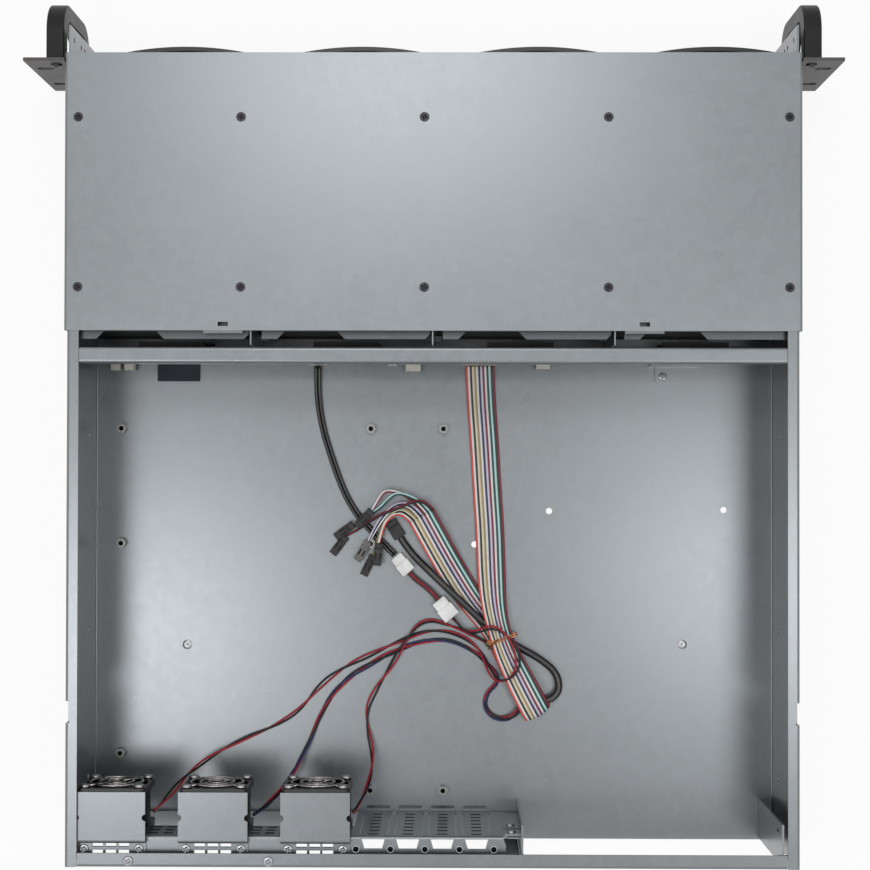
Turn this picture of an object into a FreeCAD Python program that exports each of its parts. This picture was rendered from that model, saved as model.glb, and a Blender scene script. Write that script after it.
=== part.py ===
"""Two-unit rackmount server case: rear lid off, hot-swap drive bays in front, empty board bay behind.

Millimetres. X is across the case, the front looks along -Y, Z is up and the case stands on Z = 0.
Y positions are written as distances ahead of the rear plane and turned into Y by ahead().
"""
import FreeCAD
import Part
import math
import os

from FreeCAD import Vector

# ---------------------------------------------------------------- driving dimensions
RACK_UNIT = 44.45
case_width = 430.0          # over the side walls
case_height = 88.0          # two rack units, less the usual gap
case_depth = 475.0          # rear plane to the front face of the rack ears
sheet = 1.2                 # galvanised steel
bend = 0.6                  # inner bend radius of the folded sheets
flange = 7.0                # inward flange along the top of each side wall
wall_lead = 20.0            # side walls run this far ahead of the ears
slip = 0.4                  # sheet over sheet
play = 0.3                  # loose parts beside each other

cover_depth = 163.5
cover_skirt = 16.0
cover_lead = 3.0            # the cover's front edge stands ahead of the ears
cover_hole_r = 1.7
cover_sink_r = 2.9
cover_hole_rows = (38.0, 138.0)         # behind the cover's front edge
cover_hole_columns = (-209.0, -103.0, 5.0, 112.8, 208.6)

brace_width = 9.7
brace_height = 13.0
brace_step = 1.0            # the brace stands this far behind the front of the backplane

ear_width = 26.3            # beyond the side wall; the rack panel is 482.6 mm wide
ear_thickness = 2.0
ear_leg = 34.0
ear_hole_inset = 8.75       # from the end of the ear
ear_slot_r = 3.4
ear_slot_length = 10.3
handle_reach = 36.0
handle_height = 77.0
handle_width = 10.6
handle_bar = 9.5
handle_corner = 18.0
handle_offset = 3.4         # from the side wall to the inner side of the handle

bay_count = 4
bay_spare = 0.4             # the bays share the inside width and this much more
divider = 1.0
divider_sheet = 0.8
tray_height = 28.0
tray_gap = 0.9              # from a tray to the divider beside it
tray_wall = 1.2
tray_rail = 11.0
bezel_depth = 9.0
tray_depth = 160.0          # bezel face to the rear edge of the base
tray_stop = 9.0             # from there to the backplane
guide_reach = 4.5
lever_width = 74.0
lever_height = 18.6
lever_inset = 5.0           # pin, from the side of its tray
lever_reach = 9.4           # front of the bow, ahead of the pin
lever_rise = 3.6            # of the bow's arc over its own ends
lever_thick = 2.6
knuckle_r = 3.2
pin_r = 1.5
pin_clear = 0.06
pin_grip = 0.1              # of the pin's ends in the lugs
lug_inset = 0.8             # from the tray's top and bottom
lug_thick = 2.0
shelf_drop = 8.0            # under the top of the case

board_thick = 1.6
board_height = 56.0

strip_depth = 12.0
strip_wall = 2.0
power_r = 6.0
reset_r = 2.6
button_stroke = 2.0

recess = 16.0               # the rear wall stands this far inside the rear plane
ledge_drop = 7.6            # under the level that the lid lies on
ledge_rear = 3.8
rail_depth = 8.2
rail_lip = 6.0
rail_gap = 7.3              # from the rail's end to the outside of the side wall

slot_pitch = 20.32
slot_first_x = 44.7         # screw hole beside the first expansion slot
slot_count = 4
slot_screw_back = 9.4
slot_screw_r = 1.5
slit_count = 7
slit_width = 6.0
slit_height = 3.2
slit_pitch = 10.0
io_width = 158.75           # standard rear connector aperture
io_height = 44.45
io_low = 5.4
io_edge_x = 47.0

psu_left_x = -53.1
psu_right_x = -205.5
psu_plate_depth = 25.0
psu_sheet = 1.2

fan_size = 40.0
fan_depth = 28.0
fan_hole_inset = 4.0
fan_wall = 1.4              # of the body, round the bore
fan_first_x = 188.6
fan_pitch = 60.1
fan_count = 3
fan_hub_r = 11.2
fan_shaft_r = 1.5
fan_blades = 7
guard_wire_r = 0.8
guard_rings = (15.5, 10.0, 4.6)

standoff_height = 6.35
standoff_flat = 5.5         # across flats
standoff_hole_r = 1.5
standoff_spigot_r = 2.2
board_column_x = 197.1      # first column of the board's holes
board_rear_row = 30.9       # rear row of holes, ahead of the rear plane

half_width = case_width / 2
total_depth = case_depth + handle_reach
wall_in = half_width - sheet
body_top = case_height - sheet          # the cover lies on this level
clear_half = half_width - rail_gap      # reach of the brace and the rail between the flanges
ear_reach = half_width + ear_width
ear_hole_x = ear_reach - ear_hole_inset
handle_x = half_width + handle_offset
bay_pitch = (2 * wall_in + bay_spare) / bay_count
tray_width = bay_pitch - divider_sheet - 2 * tray_gap
lever_offset = tray_width / 2 - lever_inset
board_front = case_depth - tray_depth - tray_stop       # ahead of the rear plane
brace_front = board_front - brace_step
shelf_top = case_height - shelf_drop
ledge_top = body_top - ledge_drop
fan_hole = fan_size - 2 * fan_hole_inset
fan_bore_r = fan_size / 2 - fan_wall


def ahead(distance):
    """Y of a plane that lies this far ahead of the rear plane."""
    return total_depth / 2 - distance


# ---------------------------------------------------------------- shape helpers
def block(x0, x1, y0, y1, z0, z1):
    low = Vector(min(x0, x1), min(y0, y1), min(z0, z1))
    return Part.makeBox(abs(x1 - x0), abs(y1 - y0), abs(z1 - z0), low)


def rod(base, direction, radius, length):
    return Part.makeCylinder(radius, length, Vector(*base), Vector(*direction))


def fused(shapes):
    first, rest = shapes[0], shapes[1:]
    return first.multiFuse(rest).removeSplitter() if rest else first


def cut(shape, tools):
    return shape.cut(tools) if tools else shape


def on_plane(plane, u, v, level):
    """A point of a drawing plane: XY, XZ or YZ, with the third coordinate given."""
    if plane == "XY":
        return Vector(u, v, level)
    if plane == "XZ":
        return Vector(u, level, v)
    return Vector(level, u, v)


PULL = {"XY": Vector(0, 0, 1), "XZ": Vector(0, 1, 0), "YZ": Vector(1, 0, 0)}


def rounded_edges(points, radii, closed=True):
    """Lines between 2-D points with a tangent arc at each point that has a radius."""
    count = len(points)
    pieces = []
    starts, ends = [], []
    for i in range(count):
        p = Vector(points[i][0], points[i][1], 0)
        r = radii[i]
        inner = closed or 0 < i < count - 1
        if not inner or r <= 0:
            starts.append(p)
            ends.append(p)
            pieces.append(None)
            continue
        a = (Vector(*points[i - 1], 0) - p).normalize()
        b = (Vector(*points[(i + 1) % count], 0) - p).normalize()
        half = a.getAngle(b) / 2
        reach = r / math.tan(half)
        middle = p + (a + b).normalize() * (r / math.sin(half) - r)
        starts.append(p + a * reach)
        ends.append(p + b * reach)
        pieces.append(middle)
    edges = []
    for i in range(count):
        if pieces[i] is not None:
            edges.append(("arc", starts[i], pieces[i], ends[i]))
        if i < count - 1 or closed:
            nxt = starts[(i + 1) % count]
            if (nxt - ends[i]).Length > 1e-6:
                edges.append(("line", ends[i], nxt))
    return edges


def prism(plane, points, level0, level1, radii=None):
    """Closed outline with optional corner radii, pulled from one level to the other."""
    radii = radii or [0] * len(points)
    made = []
    for edge in rounded_edges(points, radii):
        spots = [on_plane(plane, p.x, p.y, level0) for p in edge[1:]]
        if edge[0] == "arc":
            made.append(Part.Arc(*spots).toShape())
        else:
            made.append(Part.LineSegment(*spots).toShape())
    face = Part.Face(Part.Wire(made))
    return face.extrude(PULL[plane] * (level1 - level0))


def folded(plane, path, thickness, level0, level1, inner=bend):
    """Folded sheet: path is its outer side, and the metal lies to the left of the path."""
    count = len(path)
    offset, radii_out, radii_in = [], [], []
    for i in range(count):
        p = Vector(*path[i], 0)
        before = (p - Vector(*path[i - 1], 0)).normalize() if i else None
        after = (Vector(*path[i + 1], 0) - p).normalize() if i < count - 1 else None
        before = before or after
        after = after or before
        left0 = Vector(-before.y, before.x, 0)
        left1 = Vector(-after.y, after.x, 0)
        miter = (left0 + left1).normalize()
        q = p + miter * (thickness / miter.dot(left0))
        offset.append((q.x, q.y))
        turn = before.x * after.y - before.y * after.x
        bent = 0 < i < count - 1
        radii_out.append((inner + thickness if turn > 0 else inner) if bent else 0)
        radii_in.append((inner if turn > 0 else inner + thickness) if bent else 0)
    outline = list(path) + offset[::-1]
    return prism(plane, outline, level0, level1, radii_out + radii_in[::-1])


def slot_tool(x, z, y0, y1, radius, length):
    """Round-ended slot along X, cut through in Y."""
    flat = length - 2 * radius
    ends = [rod((x + s * flat / 2, y0, z), (0, 1, 0), radius, y1 - y0) for s in (-1, 1)]
    return fused(ends + [block(x - flat / 2, x + flat / 2, y0, y1, z - radius, z + radius)])


# ---------------------------------------------------------------- cords
def cord_path(points, label):
    """Straight runs joined by tangent arcs, each as large as its two runs allow."""
    spots = [Vector(*p) for p in points]
    edges, radii = [], []
    here = spots[0]
    for i in range(1, len(spots) - 1):
        p = spots[i]
        back = (spots[i - 1] - p)
        on = (spots[i + 1] - p)
        shorter = min(back.Length, on.Length)
        back.normalize()
        on.normalize()
        turn = math.pi - back.getAngle(on)
        reach = 0.45 * shorter
        radius = reach / math.tan(turn / 2)
        middle = p + (back + on).normalize() * (radius / math.cos(turn / 2) - radius)
        start, end = p + back * reach, p + on * reach
        edges.append(Part.LineSegment(here, start).toShape())
        edges.append(Part.Arc(start, middle, end).toShape())
        radii.append(radius)
        here = end
    edges.append(Part.LineSegment(here, spots[-1]).toShape())
    path = Part.Wire(edges)
    print(f"{label}: length {path.Length:.1f} mm, radii " + " ".join(f"{r:.0f}" for r in radii))
    return path, edges[0]


def swept(points, section, label, area):
    """A section carried along a cord's path, with its volume compared with section times length."""
    path, first = cord_path(points, label)
    start = first.Vertexes[0].Point
    heading = (first.Vertexes[-1].Point - start).normalize()
    profile = section(start, heading)
    pipe = Part.BRepOffsetAPI.MakePipeShell(path)
    pipe.setFrenetMode(False)
    pipe.add(profile)
    pipe.build()
    pipe.makeSolid()
    solid = pipe.shape()
    print(f"    volume over section times length: {solid.Volume / (area * path.Length):.3f}")
    return solid


def round_cord(points, diameter, label):
    def ring(start, heading):
        return Part.Wire([Part.Circle(start, heading, diameter / 2).toShape()])
    return swept(points, ring, label, math.pi * diameter ** 2 / 4)


def flat_cord(points, width, thickness, label):
    def strip(start, heading):
        side = Vector(0, 0, 1).cross(heading).normalize()
        up = heading.cross(side)
        corners = [start + side * (a * width / 2) + up * (b * thickness / 2)
                   for a, b in ((1, 1), (-1, 1), (-1, -1), (1, -1))]
        return Part.makePolygon(corners + corners[:1])
    return swept(points, strip, label, width * thickness)


# ---------------------------------------------------------------- chassis and covers
board_columns = (board_column_x, board_column_x - 157.48, board_column_x - 203.2)
board_rows = (board_rear_row, board_rear_row + 22.86, board_rear_row + 154.94,
              board_rear_row + 227.33)
standoff_places = ([(board_columns[0], r) for r in board_rows[1:]]
                   + [(c, r) for c in board_columns[1:] for r in
                      (board_rows[0], board_rows[2], board_rows[3])])
floor_holes = ((-72.9, 206.5), (-183.1, 207.4), (-25.8, 185.3))
wall_hole_rows = (253.5, 133.0, 42.0)
front_hole_levels = (44.0, 54.4, 74.6)
hook_notch = (84.0, 97.0)
notch_depth = 2.5
slot_centres = [slot_first_x - slot_pitch * (i + 0.5) for i in range(slot_count)]


def chassis_tray():
    w, h = half_width, body_top
    path = [(-w + flange, h), (-w, h), (-w, 0), (w, 0), (w, h), (w - flange, h)]
    shell = folded("XZ", path, sheet, ahead(case_depth + wall_lead), ahead(0))
    tools = []
    # the flanges stop at the cover's front edge
    front, start = ahead(case_depth + wall_lead + 1), ahead(case_depth - 1)
    tools.append(block(-wall_in, wall_in, front, start, h - 2 * sheet, h + 1))
    tools.append(block(-w - 1, w + 1, front, start, h - 2 * sheet, h + 1))
    for side in (-1, 1):
        x0, x1 = side * (w - notch_depth), side * (w + 1)
        tools.append(block(x0, x1, ahead(hook_notch[1]), ahead(hook_notch[0]), h - 9, h + 1))
        for row in wall_hole_rows:
            tools.append(rod((side * (w - 3), ahead(row), 23), (side, 0, 0), 2.0, 6))
        for level in front_hole_levels:
            tools.append(rod((side * (w - 3), ahead(case_depth + 13), level), (side, 0, 0), 1.6, 6))
    for x, row in floor_holes:
        tools.append(rod((x, ahead(row), -1), (0, 0, 1), 2.0, sheet + 2))
    for x, row in standoff_places:
        tools.append(rod((x, ahead(row), -1), (0, 0, 1), standoff_spigot_r, sheet + 2))
    shell = cut(shell, tools)
    parts = [shell]
    # pressed pockets that hold the tongues of expansion cards
    for x in slot_centres:
        y0, y1 = ahead(recess + sheet + 3.4), ahead(recess + sheet + 0.2)
        lip = prism("YZ", [(y0, sheet), (y1, sheet), (y1, sheet + 1.6), (y0 + 1.6, sheet + 1.6)],
                    x - 7.2, x + 7.2)
        parts.append(lip)
    return fused(parts)


def front_cover():
    w = half_width + slip + sheet
    low = case_height - cover_skirt
    front = case_depth + cover_lead
    rear = front - cover_depth
    skin = folded("XZ", [(w, low), (w, case_height), (-w, case_height), (-w, low)], sheet,
                  ahead(front), ahead(rear))
    tools, tabs = [], []
    for row in cover_hole_rows:
        for x in cover_hole_columns:
            y = ahead(front - row)
            tools.append(rod((x, y, body_top - 1), (0, 0, 1), cover_hole_r, sheet + 2))
            deep = cover_sink_r - cover_hole_r
            tools.append(Part.makeCone(cover_hole_r, cover_sink_r + 0.1, deep + 0.1,
                                       Vector(x, y, case_height - deep)))
    for x in (123.1, -124.2):
        tools.append(block(x - 3, x + 3, ahead(rear + 5), ahead(rear + 2.5),
                           body_top - 1, case_height + 1))
        # joggled tab that tucks under the rear lid
        y = ahead(rear)
        step = [(y - 1.0, body_top), (y + 0.2, body_top), (y + 1.6, body_top - 0.5),
                (y + 1.6, body_top + 0.5), (y - 0.2, case_height), (y - 1.0, case_height)]
        tabs.append(prism("YZ", step, x - 11.5, x + 11.5))
    return fused([cut(skin, tools)] + tabs)


def cross_brace():
    y0, y1 = ahead(brace_front), ahead(brace_front - brace_width)
    low = body_top - brace_height
    path = [(y1, low), (y1, body_top), (y0, body_top), (y0, low)]
    channel = folded("YZ", path, sheet, -clear_half, clear_half)
    feet = []
    for side in (-1, 1):
        # end tab, tucked under the flange and riveted to the side wall
        path = [(side * (clear_half - 6), body_top - sheet), (side * wall_in, body_top - sheet),
                (side * wall_in, low)]
        thick = sheet
        if side > 0:
            path = path[::-1]
        feet.append(folded("XZ", path, thick, y0 + sheet, y1 - sheet))
    return fused([channel] + feet)


# ---------------------------------------------------------------- drive cage
def tray_level(row):
    """Underside of a tray."""
    low = sheet + play
    return low if row == "lower" else low + tray_height + divider + 2 * play


def bay_centre(bay):
    return (bay - (bay_count - 1) / 2) * bay_pitch


def cage_divider(x):
    y0, y1 = ahead(case_depth - strip_depth - play), ahead(board_front + play)
    top = body_top - sheet - 0.2
    plate = block(x - divider_sheet / 2, x + divider_sheet / 2, y0, y1, sheet, top)
    slots = [block(x - 1, x + 1, ahead(d), ahead(d - 14), 64, 72) for d in (440, 410, 380, 350)]
    return cut(plate, slots)


def cage_guides():
    """Strips that the upper row of trays slides on, on both faces of each divider and wall."""
    z0 = tray_level("upper") - play - divider
    y0, y1 = ahead(case_depth - strip_depth - play), ahead(board_front + 6)
    faces = [(side * wall_in, -side) for side in (-1, 1)]
    for bay in range(1, bay_count):
        x = (bay - bay_count / 2) * bay_pitch
        faces += [(x + side * divider_sheet / 2, side) for side in (-1, 1)]
    return [block(x, x + side * guide_reach, y0, y1, z0, z0 + divider) for x, side in faces]


def cage_shelf(bay):
    """Top plate of one bay: side flanges folded down, a cable notch and a clipped rear corner."""
    x = bay_centre(bay)
    x0 = x - bay_pitch / 2 + divider / 2 + 0.05
    x1 = x + bay_pitch / 2 - divider / 2 - 5.5
    if bay == bay_count - 1:
        x1 = wall_in - 1.0
    if bay == 0:
        x0 = -wall_in + 0.05
    y0, y1 = ahead(case_depth - strip_depth - 1), ahead(brace_front + 5)
    path = [(x0, shelf_top - 9), (x0, shelf_top), (x1, shelf_top)]
    plate = folded("XZ", [p for p in path[::-1]], 1.0, y0, y1)
    centre = x + 18.4
    notch = [(centre - 21, y1 + 1), (centre - 15.5, y1 - 4.5), (centre + 15.5, y1 - 4.5),
             (centre + 21, y1 + 1)]
    tools = [prism("XY", notch, shelf_top - 3, shelf_top + 3)]
    clip = [(x0 - 1, y1 + 1), (x0 - 1, y1 - 5), (x0 + 5, y1 + 1)]
    tools.append(prism("XY", clip, shelf_top - 20, shelf_top + 3))
    return cut(plate, tools)


def drive_tray(bay, row):
    """Carrier for a 3.5 inch drive: bezel, side rails, pierced base, and the lugs of its lever."""
    x, z = bay_centre(bay), tray_level(row)
    w, h = tray_width / 2, tray_height
    y0, y1 = ahead(case_depth), ahead(case_depth - tray_depth)
    yb = y0 + bezel_depth
    bezel = prism("XZ", [(x - w, z), (x + w, z), (x + w, z + h), (x - w, z + h)], y0, yb,
                  [1.2] * 4)
    pocket = block(x - w + 6, x + w - 5, y0 + 4, yb + 1, z + 3, z + h - 3)
    vents = [block(x - 40 + 9 * i, x - 35 + 9 * i, y0 - 1, yb + 1, z + 6, z + h - 6)
             for i in range(8)]
    lamps = [rod((x + w - 9, y0 - 1, z + level), (0, 1, 0), 1.3, 4) for level in (8, 14)]
    bezel = cut(bezel, [pocket] + vents + lamps)
    path = [(x - w, z + tray_rail), (x - w, z), (x + w, z), (x + w, z + tray_rail)]
    channel = folded("XZ", path, tray_wall, yb, y1)
    windows = []
    for i in range(2):
        y = yb + 14 + i * 66
        windows.append(prism("XY", [(x - 38, y), (x + 38, y), (x + 38, y + 52), (x - 38, y + 52)],
                             z - 1, z + tray_wall + 1, [6] * 4))
    channel = cut(channel, windows)
    parts = [bezel, channel]
    px, py = lever_pivot(bay)
    for low in (z + lug_inset, z + h - lug_inset - lug_thick):
        lug = fused([rod((px, py, low), (0, 0, 1), knuckle_r, lug_thick),
                     block(px - knuckle_r, px + knuckle_r, py, y0 + 0.5, low, low + lug_thick)])
        parts.append(lug)
    tray = fused(parts)
    return cut(tray, [rod((px, py, z - 1), (0, 0, 1), pin_r + pin_clear, h + 2)])


def lever_pivot(bay):
    return bay_centre(bay) - lever_offset, ahead(case_depth) - knuckle_r - 1.3


def bow_lever(bay, row):
    """Bow-shaped handle that swings out on its pin; its plan is a shallow arc with a cheek each end."""
    px, py = lever_pivot(bay)
    z = tray_level(row) + (tray_height - lever_height) / 2
    radius = (lever_width ** 2 / 4 + lever_rise ** 2) / (2 * lever_rise)
    centre = Vector(px + lever_width / 2, py - lever_reach + radius, 0)
    angle = math.asin(lever_width / 2 / radius)

    def arc(r):
        return [centre + Vector(r * math.sin(a), -r * math.cos(a), 0) for a in (-angle, 0, angle)]

    outer, inner = arc(radius), arc(radius - lever_thick)
    edges = [Part.Arc(*outer).toShape(), Part.LineSegment(outer[2], inner[2]).toShape(),
             Part.Arc(*inner[::-1]).toShape(), Part.LineSegment(inner[0], outer[0]).toShape()]
    bow = Part.Face(Part.Wire(edges)).extrude(Vector(0, 0, lever_height))
    bow.translate(Vector(0, 0, z))
    knuckle = rod((px, py, z), (0, 0, 1), knuckle_r, lever_height)
    foot = lug_inset + lug_thick - pin_grip
    pins = rod((px, py, tray_level(row) + foot), (0, 0, 1), pin_r, tray_height - 2 * foot)
    root, tip = outer[0], outer[2]
    cheek = block(px, px + lever_thick, root.y, py, z, z + lever_height)
    catch = block(tip.x - lever_thick, tip.x, tip.y, ahead(case_depth) - play,
                  z + 3, z + lever_height - 3)
    return fused([bow, knuckle, pins, cheek, catch])


def strip_levels():
    """Bottom and top of the control strip, which fills the room above the upper trays."""
    return tray_level("upper") + tray_height + play, body_top - sheet - slip


def control_strip():
    """Hollow moulded strip above the trays, with its button seats, lamps, ports and air slots."""
    z0, z1 = strip_levels()
    x0, x1 = -wall_in + play, wall_in - play
    y0, y1 = ahead(case_depth), ahead(case_depth - strip_depth)
    shell = prism("XZ", [(x0, z0), (x1, z0), (x1, z1), (x0, z1)], y0, y1, [1.0] * 4)
    tools = [block(x0 + strip_wall, x1 - strip_wall, y0 + strip_wall, y1 + 1, z0 + strip_wall,
                   z1 - strip_wall)]
    middle = (z0 + z1) / 2
    for x, r in ((power_x, power_r), (reset_x, reset_r)):
        tools.append(rod((x, y0 - 1, middle), (0, 1, 0), r + play, strip_depth + 2))
    for x in (146, 138, 130):
        tools.append(rod((x, y0 - 1, middle), (0, 1, 0), 1.6, strip_wall + 2))
    for x in (100, 82):
        tools.append(block(x - 6.6, x + 6.6, y0 - 1, y0 + 1.2, middle - 2.9, middle + 2.9))
    for i in range(22):
        x = -198 + i * 11
        tools.append(block(x - 3.6, x + 3.6, y0 - 1, y0 + strip_wall + 1, z0 + 7, z1 - 7))
    return cut(shell, tools)


power_x = 186.0
reset_x = 164.0


def push_button(x, radius):
    """Cap with a shoulder that keeps it behind the strip's face, no taller than the room inside."""
    y0 = ahead(case_depth)
    z0, z1 = strip_levels()
    level = (z0 + z1) / 2
    room = (z1 - z0) / 2 - strip_wall - play
    cap = rod((x, y0 - 1.6, level), (0, 1, 0), radius, 6.0)
    shoulder = rod((x, y0 + strip_wall + 0.1, level), (0, 1, 0), radius + 1.6, 1.4)
    shoulder = shoulder.common(block(x - radius - 2, x + radius + 2, y0, y0 + 6, level - room,
                                     level + room))
    dish = rod((x, y0 - 2.6, level), (0, 1, 0), radius * 0.6, 1.3)
    return cut(fused([cap, shoulder]), [dish])


def backplane():
    y0, y1 = ahead(board_front), ahead(board_front - board_thick)
    board = block(-wall_in + 1, wall_in - 1, y0, y1, sheet, board_height)
    tools = []
    for bay in range(bay_count):
        x = bay_centre(bay)
        for row in ("lower", "upper"):
            z = tray_level(row) + 16
            tools.append(prism("XZ", [(x - 34, z), (x + 34, z), (x + 34, z + 7), (x - 34, z + 7)],
                               y0 - 1, y1 + 1, [2.5] * 4))
    return cut(board, tools)


def backplane_sockets():
    """Drive sockets on the front of the backplane and cable headers on its rear."""
    y0, y1 = ahead(board_front), ahead(board_front - board_thick)
    made = []
    for bay in range(bay_count):
        x = bay_centre(bay)
        for row in ("lower", "upper"):
            z = tray_level(row) + 4
            body = block(x - 20, x + 20, y0 - 5, y0, z, z + 5.5)
            made.append(cut(body, [block(x - 18.5, x + 18.5, y0 - 6, y0 - 1.5, z + 2, z + 3.6)]))
    # x, half width, depth, low, high
    headers = ((200.2, 2.9, 9.6, 3.4, 13.0), (191.5, 3.1, 9.6, 3.4, 13.0), (13.0, 4.8, 10.0, 3.4, 11.0),
               (26.2, 2.9, 6.4, 3.4, 9.0), (-68.7, 4.5, 8.4, 3.4, 8.0), (73.3, 6.0, 6.0, 2.0, 9.6),
               (-29.0, 11.0, 6.0, 2.2, 8.4))
    for x, half, depth, low, high in headers:
        made.append(prism("XZ", [(x - half, low), (x + half, low), (x + half, high), (x - half, high)],
                          y1, y1 + depth, [0.5] * 4))
    return made


# ---------------------------------------------------------------- rear end
def fan_centres():
    return [fan_first_x - i * fan_pitch for i in range(fan_count)]


fan_top = ledge_top + 4.0               # top of the fan bodies, under their brackets
fan_level = fan_top - fan_size / 2
fan_face = recess + sheet + fan_depth   # front face of the fans, ahead of the rear plane
tab_screw = 16.2                        # bracket screws, each side of the fan's middle
tab_screw_back = 9.4
vent_columns = (-7.2, 0.4, 8.2)
vent_rows = ((12.8, 10.6), (8.9, 6.0))


def bracket_vents(x, z0, z1):
    tools = []
    for column in vent_columns:
        for front, rear in vent_rows:
            tools.append(block(x + column - 3.2, x + column + 3.2, ahead(front), ahead(rear), z0, z1))
    return tools


def rear_panel():
    """Recessed wall, ledge and upturned lip folded from one sheet, with vents, slots and blanks."""
    face, back = recess + sheet, recess
    path = [(ahead(6), sheet), (ahead(face), sheet), (ahead(face), ledge_top),
            (ahead(ledge_rear + sheet), ledge_top), (ahead(ledge_rear + sheet), body_top - sheet)]
    # the foot and the ledge run to the rear, the lip turns up
    path = path[::-1]
    x0, x1 = psu_left_x + psu_sheet / 2, wall_in - 4.6
    panel = folded("YZ", path, sheet, x0, x1)
    tools = []
    z0, z1 = ledge_top - 3, ledge_top + 3
    # connector aperture
    tools.append(block(io_edge_x, io_edge_x + io_width, ahead(face + 2), ahead(back - 2),
                       io_low, io_low + io_height))
    # air vents above it
    for row in range(3):
        z = io_low + io_height + 4.5 + row * 8.4
        for column in range(18):
            x = io_edge_x + 6.3 + column * 8.6
            tools.append(block(x - 2.8, x + 2.8, ahead(face + 2), ahead(back - 2), z - 1.8, z + 1.8))
    # expansion slots: blanks with slits, held by small bridges, and a window in the ledge
    for x in slot_centres:
        for i in range(slit_count):
            z = 12.5 + i * slit_pitch
            tools.append(block(x - slit_width / 2, x + slit_width / 2, ahead(face + 2),
                               ahead(back - 2), z - slit_height / 2, z + slit_height / 2))
        for side in (-1, 1):
            edge = x + side * 8.2
            tools.append(block(edge - 0.35, edge + 0.35, ahead(face + 2), ahead(back - 2), 7, 73))
        window = [(x - 6.8, ahead(15.4)), (x + 6.8, ahead(15.4)), (x + 5.2, ahead(9.8)),
                  (x - 5.2, ahead(9.8))]
        tools.append(prism("XY", window, z0, z1))
    for i in range(slot_count + 1):
        x = slot_first_x - i * slot_pitch
        tools.append(rod((x, ahead(slot_screw_back), z0), (0, 0, 1), slot_screw_r, 6))
    for x in fan_centres():
        tools.extend(bracket_vents(x, z0, z1))
        for side in (-1, 1):
            tools.append(rod((x + side * tab_screw, ahead(tab_screw_back), z0), (0, 0, 1), 1.5, 6))
    # the ledge ends beside the power supply, with a clipped corner
    end = -43.7
    tools.append(block(x0 - 1, end, ahead(back), ahead(0), 40, body_top))
    corner = [(end - 1, ahead(back) - 2), (end - 1, ahead(9)), (end + 2.2, ahead(back) - 2)]
    tools.append(prism("XY", corner, ledge_top - sheet - 0.1, z1))
    return cut(panel, tools)


def rear_rail():
    y0 = ahead(rail_depth)
    low = body_top - rail_lip
    path = [(ahead(0), low), (ahead(0), body_top), (y0, body_top)]
    rail = folded("YZ", path, sheet, -clear_half, clear_half)
    ends = []
    for side in (-1, 1):
        ends.append(block(side * (clear_half - 5), side * (wall_in - bend), y0,
                          ahead(ledge_rear + sheet + play), body_top - 2 * sheet, body_top - sheet))
    return fused([rail] + ends)


def psu_divider():
    x = psu_left_x
    t = psu_sheet / 2
    front = psu_plate_depth
    plate = block(x - t, x + t, ahead(front), ahead(sheet + 0.1), sheet, body_top - 2 * sheet)
    tools = []
    tabs = []
    y1 = ahead(recess + sheet)
    for low, high in ((44, 59), (66, 77)):
        tabs.append(block(x, x + 10.2, y1 - sheet, y1, low, high))
        tools.append(block(x - t - 1, x + t + 1, y1 + 0.2, y1 + 9.4, low, high))
    foot = block(x - t, x + 9, ahead(front), ahead(front - 6), sheet, 2 * sheet)
    return fused([cut(plate, tools), foot] + tabs)


def psu_side_plate():
    x = psu_right_x
    t = psu_sheet / 2
    front = psu_plate_depth + 0.7
    path = [(-wall_in + bend, sheet), (x + t, sheet), (x + t, body_top - 2 * sheet)]
    plate = folded("XZ", path, psu_sheet, ahead(front), ahead(sheet + 0.1))
    tools = [rod((x - 3, ahead(21.7), 14), (1, 0, 0), 1.6, 6)]
    tools.append(block(x - 3, x + 3, ahead(20.8), ahead(18.8), 67, 73.5))
    return cut(plate, tools)


def fan_bracket(x):
    """Top plate over the fan with a thumb notch each side, stepped down to its vented tab."""
    half = fan_size / 2 + 0.4
    front = fan_face - 1.8
    step = recess - 2.6
    path = [(ahead(ledge_rear + sheet + 0.7), ledge_top + sheet), (ahead(step), ledge_top + sheet),
            (ahead(step), fan_top + sheet), (ahead(front), fan_top + sheet)]
    plate = folded("YZ", path, sheet, x - half, x + half)
    middle = (front + step) / 2
    tools = [rod((x + s * half, ahead(middle), fan_top - 1), (0, 0, 1), 2.0, 4) for s in (-1, 1)]
    tools.extend(bracket_vents(x, ledge_top - 1, ledge_top + 3))
    for side in (-1, 1):
        tools.append(rod((x + side * tab_screw, ahead(tab_screw_back), ledge_top - 1), (0, 0, 1),
                         1.5, 4))
    return cut(plate, tools)


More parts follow.
